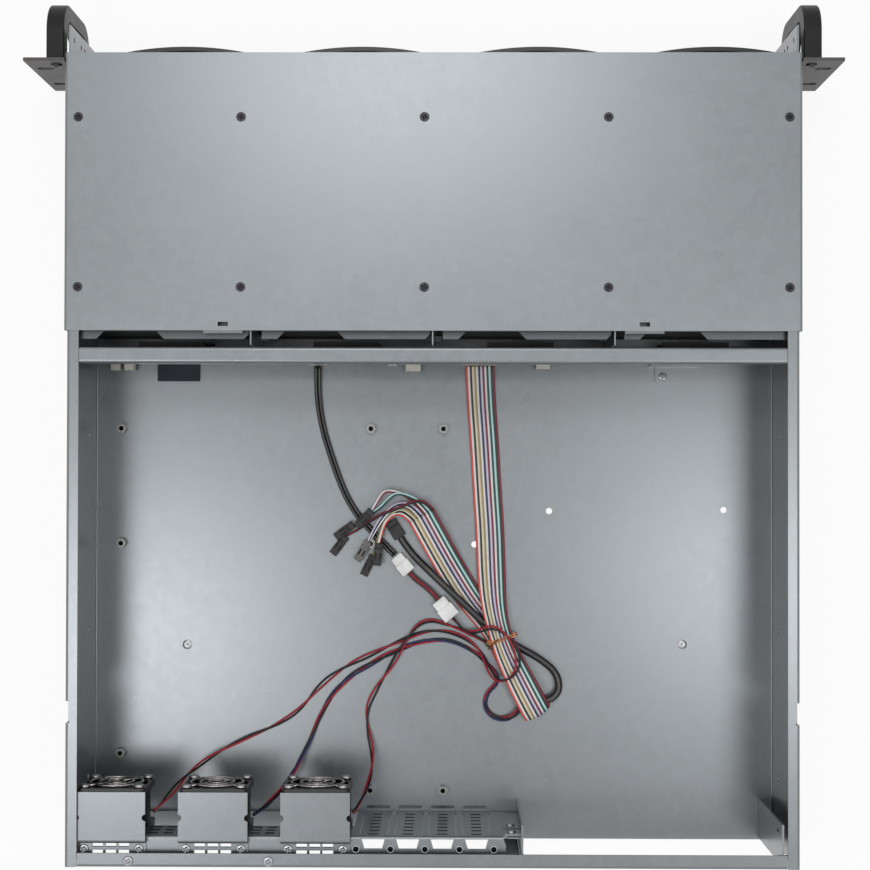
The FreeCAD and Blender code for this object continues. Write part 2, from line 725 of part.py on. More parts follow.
def fan_frame(x):
    """Square fan body: two flanges, a waisted barrel, screw lugs, and a motor seat on four struts."""
    y0, y1 = ahead(fan_face), ahead(recess + sheet)
    half, r = fan_size / 2, fan_bore_r
    corners = [(x - half, fan_level - half), (x + half, fan_level - half),
               (x + half, fan_level + half), (x - half, fan_level + half)]
    flanges = [prism("XZ", corners, a, b, [3.0] * 4) for a, b in ((y0, y0 + 4), (y1 - 4, y1))]
    barrel = rod((x, y0 + 2, fan_level), (0, 1, 0), half - 0.1, fan_depth - 4)
    body = fused(flanges + [barrel])
    tools = [rod((x, y0 - 1, fan_level), (0, 1, 0), r, fan_depth + 2)]
    offset = fan_hole / 2
    for sx in (-1, 1):
        for sz in (-1, 1):
            tools.append(rod((x + sx * offset, y0 - 1, fan_level + sz * offset), (0, 1, 0), 1.7,
                             fan_depth + 2))
    body = cut(body, tools)
    seat = rod((x, y1 - 3, fan_level), (0, 1, 0), fan_hub_r, 3)
    struts = []
    for i in range(4):
        strut = block(x - 1.2, x + 1.2, y1 - 3, y1, fan_level + fan_hub_r - 1, fan_level + r + 0.3)
        strut.rotate(Vector(x, y1, fan_level), Vector(0, 1, 0), 45 + 90 * i)
        struts.append(strut)
    body = fused([body, seat] + struts)
    return cut(body, [rod((x, y1 - 3.5, fan_level), (0, 1, 0), fan_shaft_r + 0.05, 2.6)])


def fan_rotor(x):
    """Hub cup with swept, pitched blades and its shaft."""
    y0, y1 = ahead(fan_face) + 3, ahead(recess + sheet) - 3
    depth = y1 - y0 - 0.6
    hub = rod((x, y0, fan_level), (0, 1, 0), fan_hub_r, depth)
    hollow = rod((x, y0 + 4, fan_level), (0, 1, 0), fan_hub_r - 1.5, depth)
    shaft = rod((x, y0 + 3, fan_level), (0, 1, 0), fan_shaft_r, y1 - y0 - 3 + 1.8)
    hub = cut(hub, [hollow])

    # blade section: a cambered strip in the plane of the tangent and the axis
    low, high = y0 + 1.2, y0 + depth - 1.2
    chord = ((-5.2, low), (5.6, high))
    bow = Vector(-1.6, (low + high) / 2, 0)

    def edge(shift):
        a, b = (Vector(u + x + shift, v, fan_level) for u, v in chord)
        return a, Vector(bow.x + x + shift, bow.y, fan_level), b

    front, back = edge(0), edge(0.9)
    outline = [Part.Arc(*front).toShape(), Part.LineSegment(front[2], back[2]).toShape(),
               Part.Arc(*back[::-1]).toShape(), Part.LineSegment(back[0], front[0]).toShape()]
    blade = Part.Face(Part.Wire(outline)).extrude(Vector(0, 0, fan_bore_r + 1))
    sweep = rod((x, y0, fan_level), (0, 1, 0), fan_bore_r - 0.7, depth)
    sweep = cut(sweep, [rod((x, y0 - 1, fan_level), (0, 1, 0), fan_hub_r - 0.7, depth + 2)])
    blade = blade.common(sweep)
    blades = []
    for i in range(fan_blades):
        turned = blade.copy()
        turned.rotate(Vector(x, y0, fan_level), Vector(0, 1, 0), 360.0 * i / fan_blades)
        blades.append(turned)
    return fused([hub, shaft] + blades)


def fan_guard(x):
    """Finger guard: rings joined by four spokes that end in screw eyes."""
    t = 2 * guard_wire_r
    y0, y1 = ahead(fan_face) - t, ahead(fan_face)

    def ring(cx, cz, radius):
        outer = rod((cx, y0, cz), (0, 1, 0), radius + guard_wire_r, t)
        return cut(outer, [rod((cx, y0 - 1, cz), (0, 1, 0), radius - guard_wire_r, t + 2)])

    wires = [ring(x, fan_level, radius) for radius in guard_rings]
    reach = fan_hole / 2
    for i in range(4):
        spoke = block(x - guard_wire_r, x + guard_wire_r, y0, y1, fan_level + guard_rings[2],
                      fan_level + reach * math.sqrt(2) - 2.4)
        spoke.rotate(Vector(x, y0, fan_level), Vector(0, 1, 0), 45 + 90 * i)
        wires.append(spoke)
    wires += [ring(x + sx * reach, fan_level + sz * reach, 2.5) for sx in (-1, 1) for sz in (-1, 1)]
    return fused(wires)


# ---------------------------------------------------------------- ears, handles and small parts
def rack_ear(side):
    face, back = ahead(case_depth), ahead(case_depth - ear_leg)
    w = half_width
    path = [(w, back), (w, face), (ear_reach, face)]
    ear = folded("XY", path, ear_thickness, 0, case_height, 1.0)
    tools = []
    offset = RACK_UNIT / 2
    middle = case_height / 2
    for z in (middle - offset, middle + offset):
        tools.append(slot_tool(ear_hole_x, z, face - 1, face + ear_thickness + 1, ear_slot_r,
                               ear_slot_length))
    # room for the cover's skirt, which comes down outside the side wall
    skirt_low = case_height - cover_skirt - slip
    skirt_out = w + 2 * slip + sheet
    tools.append(block(w - 1, skirt_out, face - 1, back + 1, skirt_low, case_height + 1))
    tools.append(block(w - 1, w + ear_thickness + 1, face + ear_thickness, back + 1,
                       skirt_low, case_height + 1))
    ear = cut(ear, tools)
    return ear if side > 0 else ear.mirror(Vector(0, 0, 0), Vector(1, 0, 0))


def pull_handle(side):
    y0, y1 = ahead(case_depth), ahead(case_depth + handle_reach)
    z0 = (case_height - handle_height) / 2
    z1 = z0 + handle_height
    b, r = handle_bar, handle_corner
    outline = [(y0, z0), (y0, z0 + b), (y1 + b, z0 + b), (y1 + b, z1 - b), (y0, z1 - b), (y0, z1),
               (y1, z1), (y1, z0)]
    radii = [0, 0, r - b + 1, r - b + 1, 0, 0, r, r]
    bar = prism("YZ", outline, handle_x, handle_x + handle_width, radii)
    edges = [e for e in bar.Edges if e.Length > 20 and abs(e.tangentAt(e.FirstParameter).x) < 0.1]
    bar = bar.makeFillet(1.2, [e for e in edges if e.BoundBox.YMin < y1 + 0.1])
    return bar if side > 0 else bar.mirror(Vector(0, 0, 0), Vector(1, 0, 0))


def standoff(x, y):
    flat = standoff_flat
    corner = flat / math.sqrt(3)
    points = [(x + corner * math.cos(math.radians(60 * i)), y + corner * math.sin(math.radians(60 * i)))
              for i in range(6)]
    body = prism("XY", points, sheet, sheet + standoff_height)
    spigot = rod((x, y, 0.2), (0, 0, 1), standoff_spigot_r, sheet + 1)
    bore = rod((x, y, sheet + 0.6), (0, 0, 1), standoff_hole_r, standoff_height)
    return cut(fused([body, spigot]), [bore])


def angle_bracket():
    """Small clip on the floor behind the backplane: upright strip and a screwed foot."""
    rear = board_front - 18.4
    y = ahead(board_front - 8.0)
    path = [(ahead(rear), sheet + 1.5), (y, sheet + 1.5), (y, 12.0)]
    foot = prism("XY", [(-157.6, y - 1.5), (-139.4, y - 1.5), (-139.4, ahead(rear)),
                        (-157.6, ahead(rear))], sheet, sheet + 1.5, [0, 0, 2.5, 2.5])
    strip = block(-167.7, -136.2, path[1][0] - 1.5, path[1][0], sheet, 12.0)
    hole = rod((-144.5, ahead(board_front - 14.5), 0), (0, 0, 1), 1.6, 4)
    return cut(fused([foot, strip]), [hole])


def floor_pad():
    front, rear = ahead(board_front - 2.5), ahead(board_front - 17.8)
    return prism("XY", [(148.5, front), (174.8, front), (174.8, rear), (148.5, rear)],
                 sheet, sheet + 3.0, [0.5] * 4)


# ---------------------------------------------------------------- cords and what is on them
ribbon_width = 18.2
ribbon_thick = 1.3
ribbon_route = [
    (-29.0, -42.3, 5.2), (-29.8, -22.0, 3.4), (-32.0, 6.0, 2.9), (-33.6, 34.0, 2.9),
    (-35.6, 62.0, 2.9), (-36.4, 88.0, 5.0), (-38.0, 111.0, 9.4), (-43.8, 132.6, 11.6),
    (-52.6, 151.0, 13.4), (-61.2, 167.6, 14.6), (-66.6, 177.4, 12.4), (-66.3, 176.8, 5.2),
    (-61.0, 167.0, 2.9), (-52.4, 151.4, 2.9), (-43.4, 134.0, 2.9), (-34.6, 119.0, 2.9),
    (-22.6, 104.0, 2.9), (-13.0, 88.6, 4.0), (-6.6, 77.4, 8.6), (0.4, 64.8, 9.8),
    (7.6, 51.8, 9.6)]
port_diameter = 4.5
port_route = [
    (-59.5, 163.4, 8.4), (-69.6, 169.6, 8.8), (-79.6, 163.0, 7.0), (-78.0, 150.6, 6.2),
    (-67.0, 141.6, 6.6), (-54.6, 135.0, 6.6), (-43.0, 128.4, 6.6), (-31.6, 119.0, 6.6),
    (-21.6, 109.6, 7.2), (-10.8, 99.4, 8.4), (1.6, 87.6, 7.6), (11.6, 78.4, 4.2),
    (17.4, 71.0, 3.8), (20.9, 65.9, 3.8)]
power_diameter = 4.4
power_route = [
    (73.3, -42.3, 6.0), (73.8, -26.0, 4.4), (70.6, -4.0, 3.8), (63.8, 18.0, 3.8),
    (56.2, 38.6, 3.8), (47.0, 53.6, 3.8), (35.4, 65.6, 3.8), (24.5, 76.8, 4.4)]
lead_diameter = 2.6
lead_1_route = [
    (167.6, 229.0, 56.0), (160.4, 221.4, 49.0), (152.0, 211.4, 32.0), (139.4, 202.4, 14.0),
    (118.6, 192.4, 4.4), (100.0, 185.0, 2.9), (84.0, 174.8, 2.8), (71.6, 159.0, 2.9),
    (55.8, 147.2, 2.8), (36.4, 138.2, 2.9), (19.0, 130.2, 2.8), (5.0, 124.8, 2.9),
    (-8.0, 124.6, 3.0), (-19.0, 128.4, 2.9), (-27.6, 134.8, 2.9), (-33.4, 142.6, 5.0),
    (-37.4, 150.6, 10.4), (-40.6, 158.8, 15.6), (-50.0, 159.4, 17.0), (-54.6, 150.4, 16.8),
    (-52.0, 141.4, 15.8), (-44.6, 132.6, 14.8), (-34.4, 129.4, 14.4), (-24.8, 129.4, 9.4),
    (-17.2, 122.2, 7.4), (-12.2, 116.1, 7.2)]
lead_2_route = [
    (107.6, 230.6, 56.0), (99.6, 226.2, 48.0), (90.0, 216.4, 27.0), (82.6, 204.0, 11.0),
    (76.0, 189.6, 4.0), (69.0, 172.6, 2.8), (57.6, 157.0, 2.9), (40.0, 145.6, 2.8),
    (22.4, 136.4, 2.9), (4.8, 130.6, 2.8), (-8.6, 130.4, 2.9), (-20.0, 135.0, 2.8),
    (-29.4, 144.0, 2.9), (-34.2, 154.0, 2.8), (-32.8, 164.4, 2.8), (-32.2, 173.6, 2.9),
    (-37.6, 181.0, 3.6), (-46.6, 182.4, 5.4), (-53.2, 177.4, 7.4), (-55.4, 169.6, 8.2),
    (-53.6, 162.6, 8.2)]
lead_3_route = [
    (47.4, 229.0, 56.0), (42.6, 223.0, 47.0), (38.4, 213.0, 27.0), (37.6, 201.6, 10.0),
    (41.0, 188.0, 3.8), (42.4, 174.0, 2.9), (35.8, 160.6, 2.8), (28.6, 150.0, 4.0),
    (22.0, 138.6, 7.0), (15.6, 127.6, 7.0), (9.6, 120.2, 4.6), (1.2, 117.6, 2.9),
    (-8.0, 120.6, 2.9), (-17.6, 123.8, 2.9), (-25.6, 127.6, 3.6), (-33.0, 131.5, 5.7)]
link_route = [
    (-4.8, 107.3, 7.0), (-0.6, 101.4, 6.4), (6.0, 95.6, 5.0), (12.0, 91.6, 4.6), (17.3, 85.3, 4.6)]
panel_lead_diameter = 2.2
panel_lead_routes = [
    [(0.9, 46.9, 9.6), (12.6, 37.0, 12.4), (25.4, 37.2, 13.8), (34.0, 43.6, 12.8),
     (38.4, 48.2, 12.2)],
    [(3.2, 48.2, 9.6), (14.2, 39.8, 11.6), (28.0, 41.6, 10.6), (40.4, 49.6, 8.4), (50.4, 57.1, 6.6)],
    [(5.5, 49.5, 9.6), (15.6, 42.2, 10.8), (28.6, 45.6, 9.8), (41.0, 54.8, 8.8), (48.8, 62.0, 5.8),
     (54.9, 64.8, 3.1)],
    [(9.0, 51.6, 9.6), (18.0, 45.6, 11.2), (28.6, 49.8, 11.2), (36.2, 56.6, 10.2), (40.6, 67.8, 9.4)],
    [(11.4, 52.9, 9.6), (19.4, 48.6, 10.4), (26.6, 53.2, 9.2), (31.8, 60.4, 7.8), (34.4, 68.4, 7.6),
     (37.9, 76.8, 3.4)],
    [(13.8, 54.3, 9.6), (19.4, 52.2, 12.8), (25.6, 54.4, 14.2), (31.4, 58.4, 12.8),
     (34.2, 69.0, 11.2)]]


def plug(centre, heading, length, width, height):
    """Rectangular plug body, centred, with its length along a level heading in degrees."""
    x, y, z = centre
    body = block(-length / 2, length / 2, -width / 2, width / 2, -height / 2, height / 2)
    body.rotate(Vector(0, 0, 0), Vector(0, 0, 1), heading)
    body.translate(Vector(x, y, z))
    return body


def panel_plugs():
    """Two-pin plugs at the ends of the front panel's leads, and the port cable's block."""
    # x, y, z, heading in degrees
    places = ((43.6, 53.6, 12.2, 46), (56.2, 61.5, 6.6, 37), (59.6, 70.8, 3.0, 53),
              (44.6, 74.1, 9.4, 59), (41.2, 83.5, 3.0, 64), (34.8, 76.2, 11.2, 85))
    bodies = [plug((x, y, z), heading, 14.0, 5.2, 2.8) for x, y, z, heading in places]
    bodies.append(plug((24.2, 60.6, sheet + 2.5), 122, 12.0, 8.0, 4.6))
    return bodies


def lead_plugs():
    first = plug((19.6, 82.6, 4.6), 130, 13.0, 9.4, 6.0)
    second = plug((-7.4, 110.4, 7.2), 130, 14.0, 11.0, 6.0)
    third = plug((-52.3, 157.6, 8.2), 105, 9.0, 6.4, 4.4)
    fourth = plug((-37.1, 133.6, 5.8), 152, 8.0, 5.0, 3.2)
    return [first, second, third, fourth]


# ---------------------------------------------------------------- output
def build():
    nodes = {
        "chassis_tray": chassis_tray(),
        "front_cover": front_cover(),
        "cross_brace": cross_brace(),
        "cage_shelves": [cage_shelf(bay) for bay in range(bay_count)],
        "backplane": backplane(),
        "backplane_sockets": backplane_sockets(),
        "control_strip": control_strip(),
        "power_button": push_button(power_x, power_r),
        "reset_button": push_button(reset_x, reset_r),
        "rear_panel": rear_panel(),
        "rear_rail": rear_rail(),
        "psu_divider": psu_divider(),
        "psu_side_plate": psu_side_plate(),
        "standoffs": [standoff(x, ahead(row)) for x, row in standoff_places],
        "angle_bracket": angle_bracket(),
        "floor_pad": floor_pad(),
        "ribbon_cable": flat_cord(ribbon_route, ribbon_width, ribbon_thick, "ribbon_cable"),
        "port_cable": round_cord(port_route, port_diameter, "port_cable"),
        "power_cable": round_cord(power_route, power_diameter, "power_cable"),
        "link_lead": round_cord(link_route, lead_diameter, "link_lead"),
        "panel_leads": [round_cord(route, panel_lead_diameter, "panel_leads")
                        for route in panel_lead_routes],
        "panel_plugs": panel_plugs(),
        "lead_plugs": lead_plugs(),
    }
    dividers = [cage_divider((bay - bay_count / 2) * bay_pitch) for bay in range(1, bay_count)]
    nodes["cage_dividers"] = dividers
    nodes["cage_guides"] = cage_guides()
    for side, name in ((-1, "left"), (1, "right")):
        nodes["ear_" + name] = rack_ear(side)
        nodes["handle_" + name] = pull_handle(side)
    for row in ("lower", "upper"):
        for bay in range(bay_count):
            nodes[f"tray_{row}_{bay + 1}"] = drive_tray(bay, row)
            nodes[f"lever_{row}_{bay + 1}"] = bow_lever(bay, row)
    guards = []
    leads = (lead_1_route, lead_2_route, lead_3_route)
    for number, (x, route) in enumerate(zip(fan_centres(), leads), 1):
        nodes[f"fan_bracket_{number}"] = fan_bracket(x)
        nodes[f"fan_frame_{number}"] = fan_frame(x)
        nodes[f"fan_rotor_{number}"] = fan_rotor(x)
        nodes[f"fan_lead_{number}"] = round_cord(route, lead_diameter, f"fan_lead_{number}")
        guards.append(fan_guard(x))
    nodes["fan_guards"] = guards
    return nodes


def main():
    os.makedirs("parts", exist_ok=True)
    for name, shape in build().items():
        solids = shape if isinstance(shape, list) else [shape]
        solids = [solid for item in solids for solid in item.Solids]
        body = solids[0] if len(solids) == 1 else Part.makeCompound(solids)
        body.exportStep(f"parts/{name}.step")


main()
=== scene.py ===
"""Finishes, screws, cords and studio for an empty two-unit rackmount server case.

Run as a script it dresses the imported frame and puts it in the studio; as an add-on it lists the
same steps in the sidebar. Metres: X runs across the case, the front looks along -Y, Z is up.
"""
import math

import bpy
import numpy as np
from bpy.props import FloatProperty, FloatVectorProperty, PointerProperty
from bpy.types import Operator, Panel, PropertyGroup
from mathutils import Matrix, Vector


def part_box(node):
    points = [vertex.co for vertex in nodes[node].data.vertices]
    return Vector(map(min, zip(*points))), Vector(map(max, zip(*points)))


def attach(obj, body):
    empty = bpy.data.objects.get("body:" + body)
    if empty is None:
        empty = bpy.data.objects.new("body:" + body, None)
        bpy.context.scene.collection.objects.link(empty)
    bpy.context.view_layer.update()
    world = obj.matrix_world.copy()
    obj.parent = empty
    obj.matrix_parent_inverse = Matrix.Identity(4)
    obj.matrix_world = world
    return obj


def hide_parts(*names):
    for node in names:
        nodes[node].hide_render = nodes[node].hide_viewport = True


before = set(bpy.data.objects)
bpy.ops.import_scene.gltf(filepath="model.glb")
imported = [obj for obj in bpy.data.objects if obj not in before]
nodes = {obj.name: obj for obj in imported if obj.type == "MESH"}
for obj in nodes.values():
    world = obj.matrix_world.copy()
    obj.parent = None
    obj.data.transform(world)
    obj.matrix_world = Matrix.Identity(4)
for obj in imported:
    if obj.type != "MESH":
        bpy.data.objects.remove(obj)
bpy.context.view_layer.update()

bl_info = {
    "name": "Rackmount server case",
    "version": (1, 0, 0),
    "blender": (4, 5, 0),
    "location": "3D View > Sidebar > Server case",
    "description": "Finishes, screws, cords and studio of an empty rackmount server case",
    "category": "Object",
}

# -------- places, from the frame
SHEET = 0.0012
EAR_SHEET = 0.002
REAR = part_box("chassis_tray")[1].y
FLOOR = SHEET
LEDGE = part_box("fan_bracket_1")[0].z
TAB_TOP = LEDGE + SHEET
RAIL_TOP, COVER_TOP, STUD_TOP = (
    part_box(name)[1].z for name in ("rear_rail", "front_cover", "standoffs"))
FANS = (1, 2, 3)
FAN_CENTRES = [(low + high) / 2 for low, high in (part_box(f"fan_frame_{i}") for i in FANS)]
GUARD_FACE, GUARD_BACK = (corner.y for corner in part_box("fan_guards"))
GUARD_EYE = 0.0160                          # half the spacing of a guard's eyes and screws
EAR_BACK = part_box("ear_left")[0].y + EAR_SHEET
SHEET_NODES = (
    "chassis_tray", "cross_brace", "cage_dividers", "cage_guides", "rear_rail", "psu_divider",
    "psu_side_plate", "angle_bracket")


def ahead(distance):
    """Y of a plane that lies this far ahead of the rear plane."""
    return REAR - distance


# -------- routes of the cords
RIBBON_ROUTE = [
    (-0.0290, -0.0423, 0.0052), (-0.0298, -0.0220, 0.0034), (-0.0320, 0.0060, 0.0029),
    (-0.0336, 0.0340, 0.0029), (-0.0356, 0.0620, 0.0029), (-0.0364, 0.0880, 0.0050),
    (-0.0380, 0.1110, 0.0094), (-0.0438, 0.1326, 0.0116), (-0.0526, 0.1510, 0.0134),
    (-0.0612, 0.1676, 0.0146), (-0.0666, 0.1774, 0.0124), (-0.0663, 0.1768, 0.0052),
    (-0.0610, 0.1670, 0.0029), (-0.0524, 0.1514, 0.0029), (-0.0434, 0.1340, 0.0029),
    (-0.0346, 0.1190, 0.0029), (-0.0226, 0.1040, 0.0029), (-0.0130, 0.0886, 0.0040),
    (-0.0066, 0.0774, 0.0086), (0.0004, 0.0648, 0.0098), (0.0076, 0.0518, 0.0096)]
PORT_ROUTE = [
    (-0.0595, 0.1634, 0.0084), (-0.0696, 0.1696, 0.0088), (-0.0796, 0.1630, 0.0070),
    (-0.0780, 0.1506, 0.0062), (-0.0670, 0.1416, 0.0066), (-0.0546, 0.1350, 0.0066),
    (-0.0430, 0.1284, 0.0066), (-0.0316, 0.1190, 0.0066), (-0.0216, 0.1096, 0.0072),
    (-0.0108, 0.0994, 0.0084), (0.0016, 0.0876, 0.0076), (0.0116, 0.0784, 0.0042),
    (0.0174, 0.0710, 0.0038), (0.0209, 0.0659, 0.0038)]
POWER_ROUTE = [
    (0.0733, -0.0423, 0.0060), (0.0738, -0.0260, 0.0044), (0.0706, -0.0040, 0.0038),
    (0.0638, 0.0180, 0.0038), (0.0562, 0.0386, 0.0038), (0.0470, 0.0536, 0.0038),
    (0.0354, 0.0656, 0.0038), (0.0245, 0.0768, 0.0044)]
LINK_ROUTE = [
    (-0.0048, 0.1073, 0.0070), (-0.0006, 0.1014, 0.0064), (0.0060, 0.0956, 0.0050),
    (0.0120, 0.0916, 0.0046), (0.0173, 0.0853, 0.0046)]
FAN_LEAD_ROUTES = (
    [(0.1676, 0.2290, 0.0560), (0.1604, 0.2214, 0.0490), (0.1520, 0.2114, 0.0320),
     (0.1394, 0.2024, 0.0140), (0.1186, 0.1924, 0.0044), (0.1000, 0.1850, 0.0029),
     (0.0840, 0.1748, 0.0028), (0.0716, 0.1590, 0.0029), (0.0558, 0.1472, 0.0028),
     (0.0364, 0.1382, 0.0029), (0.0190, 0.1302, 0.0028), (0.0050, 0.1248, 0.0029),
     (-0.0080, 0.1246, 0.0030), (-0.0190, 0.1284, 0.0029), (-0.0268, 0.1340, 0.0029),
     (-0.0318, 0.1408, 0.0050), (-0.0350, 0.1486, 0.0104), (-0.0396, 0.1548, 0.0156),
     (-0.0474, 0.1538, 0.0172), (-0.0530, 0.1464, 0.0170), (-0.0524, 0.1364, 0.0160),
     (-0.0466, 0.1262, 0.0152), (-0.0380, 0.1208, 0.0146), (-0.0306, 0.1228, 0.0126),
     (-0.0240, 0.1256, 0.0094), (-0.0172, 0.1222, 0.0074), (-0.0122, 0.1161, 0.0072)],
    [(0.1076, 0.2306, 0.0560), (0.0996, 0.2262, 0.0480), (0.0900, 0.2164, 0.0270),
     (0.0826, 0.2040, 0.0110), (0.0760, 0.1896, 0.0040), (0.0690, 0.1726, 0.0028),
     (0.0576, 0.1570, 0.0029), (0.0400, 0.1456, 0.0028), (0.0224, 0.1364, 0.0029),
     (0.0048, 0.1306, 0.0028), (-0.0086, 0.1304, 0.0029), (-0.0204, 0.1342, 0.0028),
     (-0.0308, 0.1418, 0.0029), (-0.0394, 0.1506, 0.0030), (-0.0408, 0.1570, 0.0034),
     (-0.0344, 0.1634, 0.0030), (-0.0316, 0.1716, 0.0029), (-0.0364, 0.1782, 0.0036),
     (-0.0456, 0.1804, 0.0054), (-0.0528, 0.1762, 0.0074), (-0.0554, 0.1690, 0.0082),
     (-0.0536, 0.1626, 0.0082)],
    [(0.0474, 0.2290, 0.0560), (0.0426, 0.2230, 0.0470), (0.0384, 0.2130, 0.0270),
     (0.0376, 0.2016, 0.0100), (0.0410, 0.1880, 0.0038), (0.0424, 0.1740, 0.0029),
     (0.0358, 0.1606, 0.0028), (0.0286, 0.1500, 0.0040), (0.0220, 0.1386, 0.0070),
     (0.0156, 0.1276, 0.0070), (0.0096, 0.1202, 0.0046), (0.0012, 0.1176, 0.0029),
     (-0.0080, 0.1206, 0.0029), (-0.0176, 0.1238, 0.0029), (-0.0256, 0.1276, 0.0036),
     (-0.0330, 0.1315, 0.0057)])
PANEL_LEAD_ROUTES = (
    [(0.0053, 0.0505, 0.0096), (0.0100, 0.0446, 0.0112), (0.0150, 0.0408, 0.0126),
     (0.0200, 0.0380, 0.0132), (0.0250, 0.0366, 0.0132), (0.0304, 0.0362, 0.0136),
     (0.0338, 0.0404, 0.0134), (0.0384, 0.0482, 0.0122)],
    [(0.0031, 0.0493, 0.0096), (0.0078, 0.0436, 0.0112), (0.0128, 0.0408, 0.0128),
     (0.0182, 0.0384, 0.0142), (0.0236, 0.0378, 0.0148), (0.0280, 0.0410, 0.0138),
     (0.0330, 0.0466, 0.0112), (0.0410, 0.0518, 0.0084), (0.0504, 0.0571, 0.0066)],
    [(0.0008, 0.0480, 0.0096), (0.0048, 0.0438, 0.0114), (0.0094, 0.0424, 0.0136),
     (0.0138, 0.0434, 0.0152), (0.0186, 0.0456, 0.0156), (0.0240, 0.0478, 0.0148),
     (0.0310, 0.0502, 0.0124), (0.0400, 0.0552, 0.0090), (0.0484, 0.0614, 0.0056),
     (0.0549, 0.0648, 0.0031)],
    [(0.0082, 0.0521, 0.0096), (0.0124, 0.0472, 0.0106), (0.0176, 0.0444, 0.0114),
     (0.0240, 0.0454, 0.0118), (0.0300, 0.0504, 0.0114), (0.0358, 0.0582, 0.0102),
     (0.0406, 0.0678, 0.0094)],
    [(0.0116, 0.0540, 0.0096), (0.0158, 0.0498, 0.0102), (0.0208, 0.0478, 0.0104),
     (0.0262, 0.0500, 0.0100), (0.0308, 0.0564, 0.0090), (0.0336, 0.0640, 0.0076),
     (0.0356, 0.0702, 0.0062), (0.0379, 0.0768, 0.0034)],
    [(0.0144, 0.0556, 0.0096), (0.0184, 0.0516, 0.0100), (0.0230, 0.0504, 0.0104),
     (0.0276, 0.0528, 0.0112), (0.0316, 0.0582, 0.0118), (0.0342, 0.0690, 0.0112)])
# lengths of the cords' centre lines
LENGTHS = {
    "ribbon": 0.3785, "port": 0.1652, "power": 0.1333, "link": 0.0315,
    "fan": (0.3587, 0.2818, 0.1929), "panel": (0.0448, 0.0546, 0.0587, 0.0436, 0.0441, 0.0311)}

# middle and level heading, in degrees
PANEL_PLUGS = (
    ((0.0436, 0.0536, 0.0122), 46), ((0.0562, 0.0615, 0.0066), 37), ((0.0596, 0.0708, 0.0030), 53),
    ((0.0446, 0.0741, 0.0094), 59), ((0.0412, 0.0835, 0.0030), 64), ((0.0348, 0.0762, 0.0112), 85))
PORT_BLOCK = ((0.0242, 0.0606, 0.0037), 122)
LEAD_PLUGS = (
    ((0.0196, 0.0826, 0.0046), 130, (0.0130, 0.0094, 0.0060)),
    ((-0.0074, 0.1104, 0.0072), 130, (0.0140, 0.0110, 0.0060)),
    ((-0.0523, 0.1576, 0.0082), 105, (0.0090, 0.0064, 0.0044)),
    ((-0.0371, 0.1336, 0.0058), 152, (0.0080, 0.0050, 0.0032)))

# -------- colours of insulation
CORAL = (0.62, 0.085, 0.065)
WHITE = (0.78, 0.79, 0.78)
BLACK = (0.005, 0.005, 0.006)
CREAM = (0.72, 0.66, 0.50)
TAN = (0.36, 0.27, 0.13)
NAVY = (0.012, 0.014, 0.060)
LAVENDER = (0.62, 0.60, 0.72)
CRIMSON = (0.20, 0.010, 0.030)
TEAL = (0.010, 0.060, 0.060)
SKY = (0.50, 0.76, 0.74)
PINE = (0.008, 0.035, 0.030)
RED = (0.33, 0.012, 0.028)
BLUE = (0.012, 0.026, 0.095)
RIBBON_COLOURS = (CORAL, WHITE, BLACK, CREAM, TAN, WHITE, NAVY, LAVENDER, CRIMSON, WHITE, TEAL,
                  SKY, PINE, CRIMSON)
PANEL_LEAD_COLOURS = ((WHITE, CRIMSON), (SKY, TEAL), (CRIMSON, PINE), (LAVENDER, NAVY, WHITE),
                      (TAN, CREAM, BLACK), (WHITE, CORAL))
FAN_LEAD_COLOURS = ((RED, BLACK), (BLUE, RED, BLACK), (RED, BLACK))


# -------- surfaces
def unit(vectors):
    """Vectors divided by their lengths."""
    return vectors / np.linalg.norm(vectors, axis=-1, keepdims=True)


def distances(points):
    """How far along a line each of its points is."""
    steps = np.linalg.norm(np.diff(points, axis=0), axis=1)
    return np.concatenate([[0.0], np.cumsum(steps)])


def put_in(name, data):
    """A new object at the origin that shows a mesh, curve, lamp or camera."""
    piece = bpy.data.objects.new(name, data)
    bpy.context.scene.collection.objects.link(piece)
    return piece


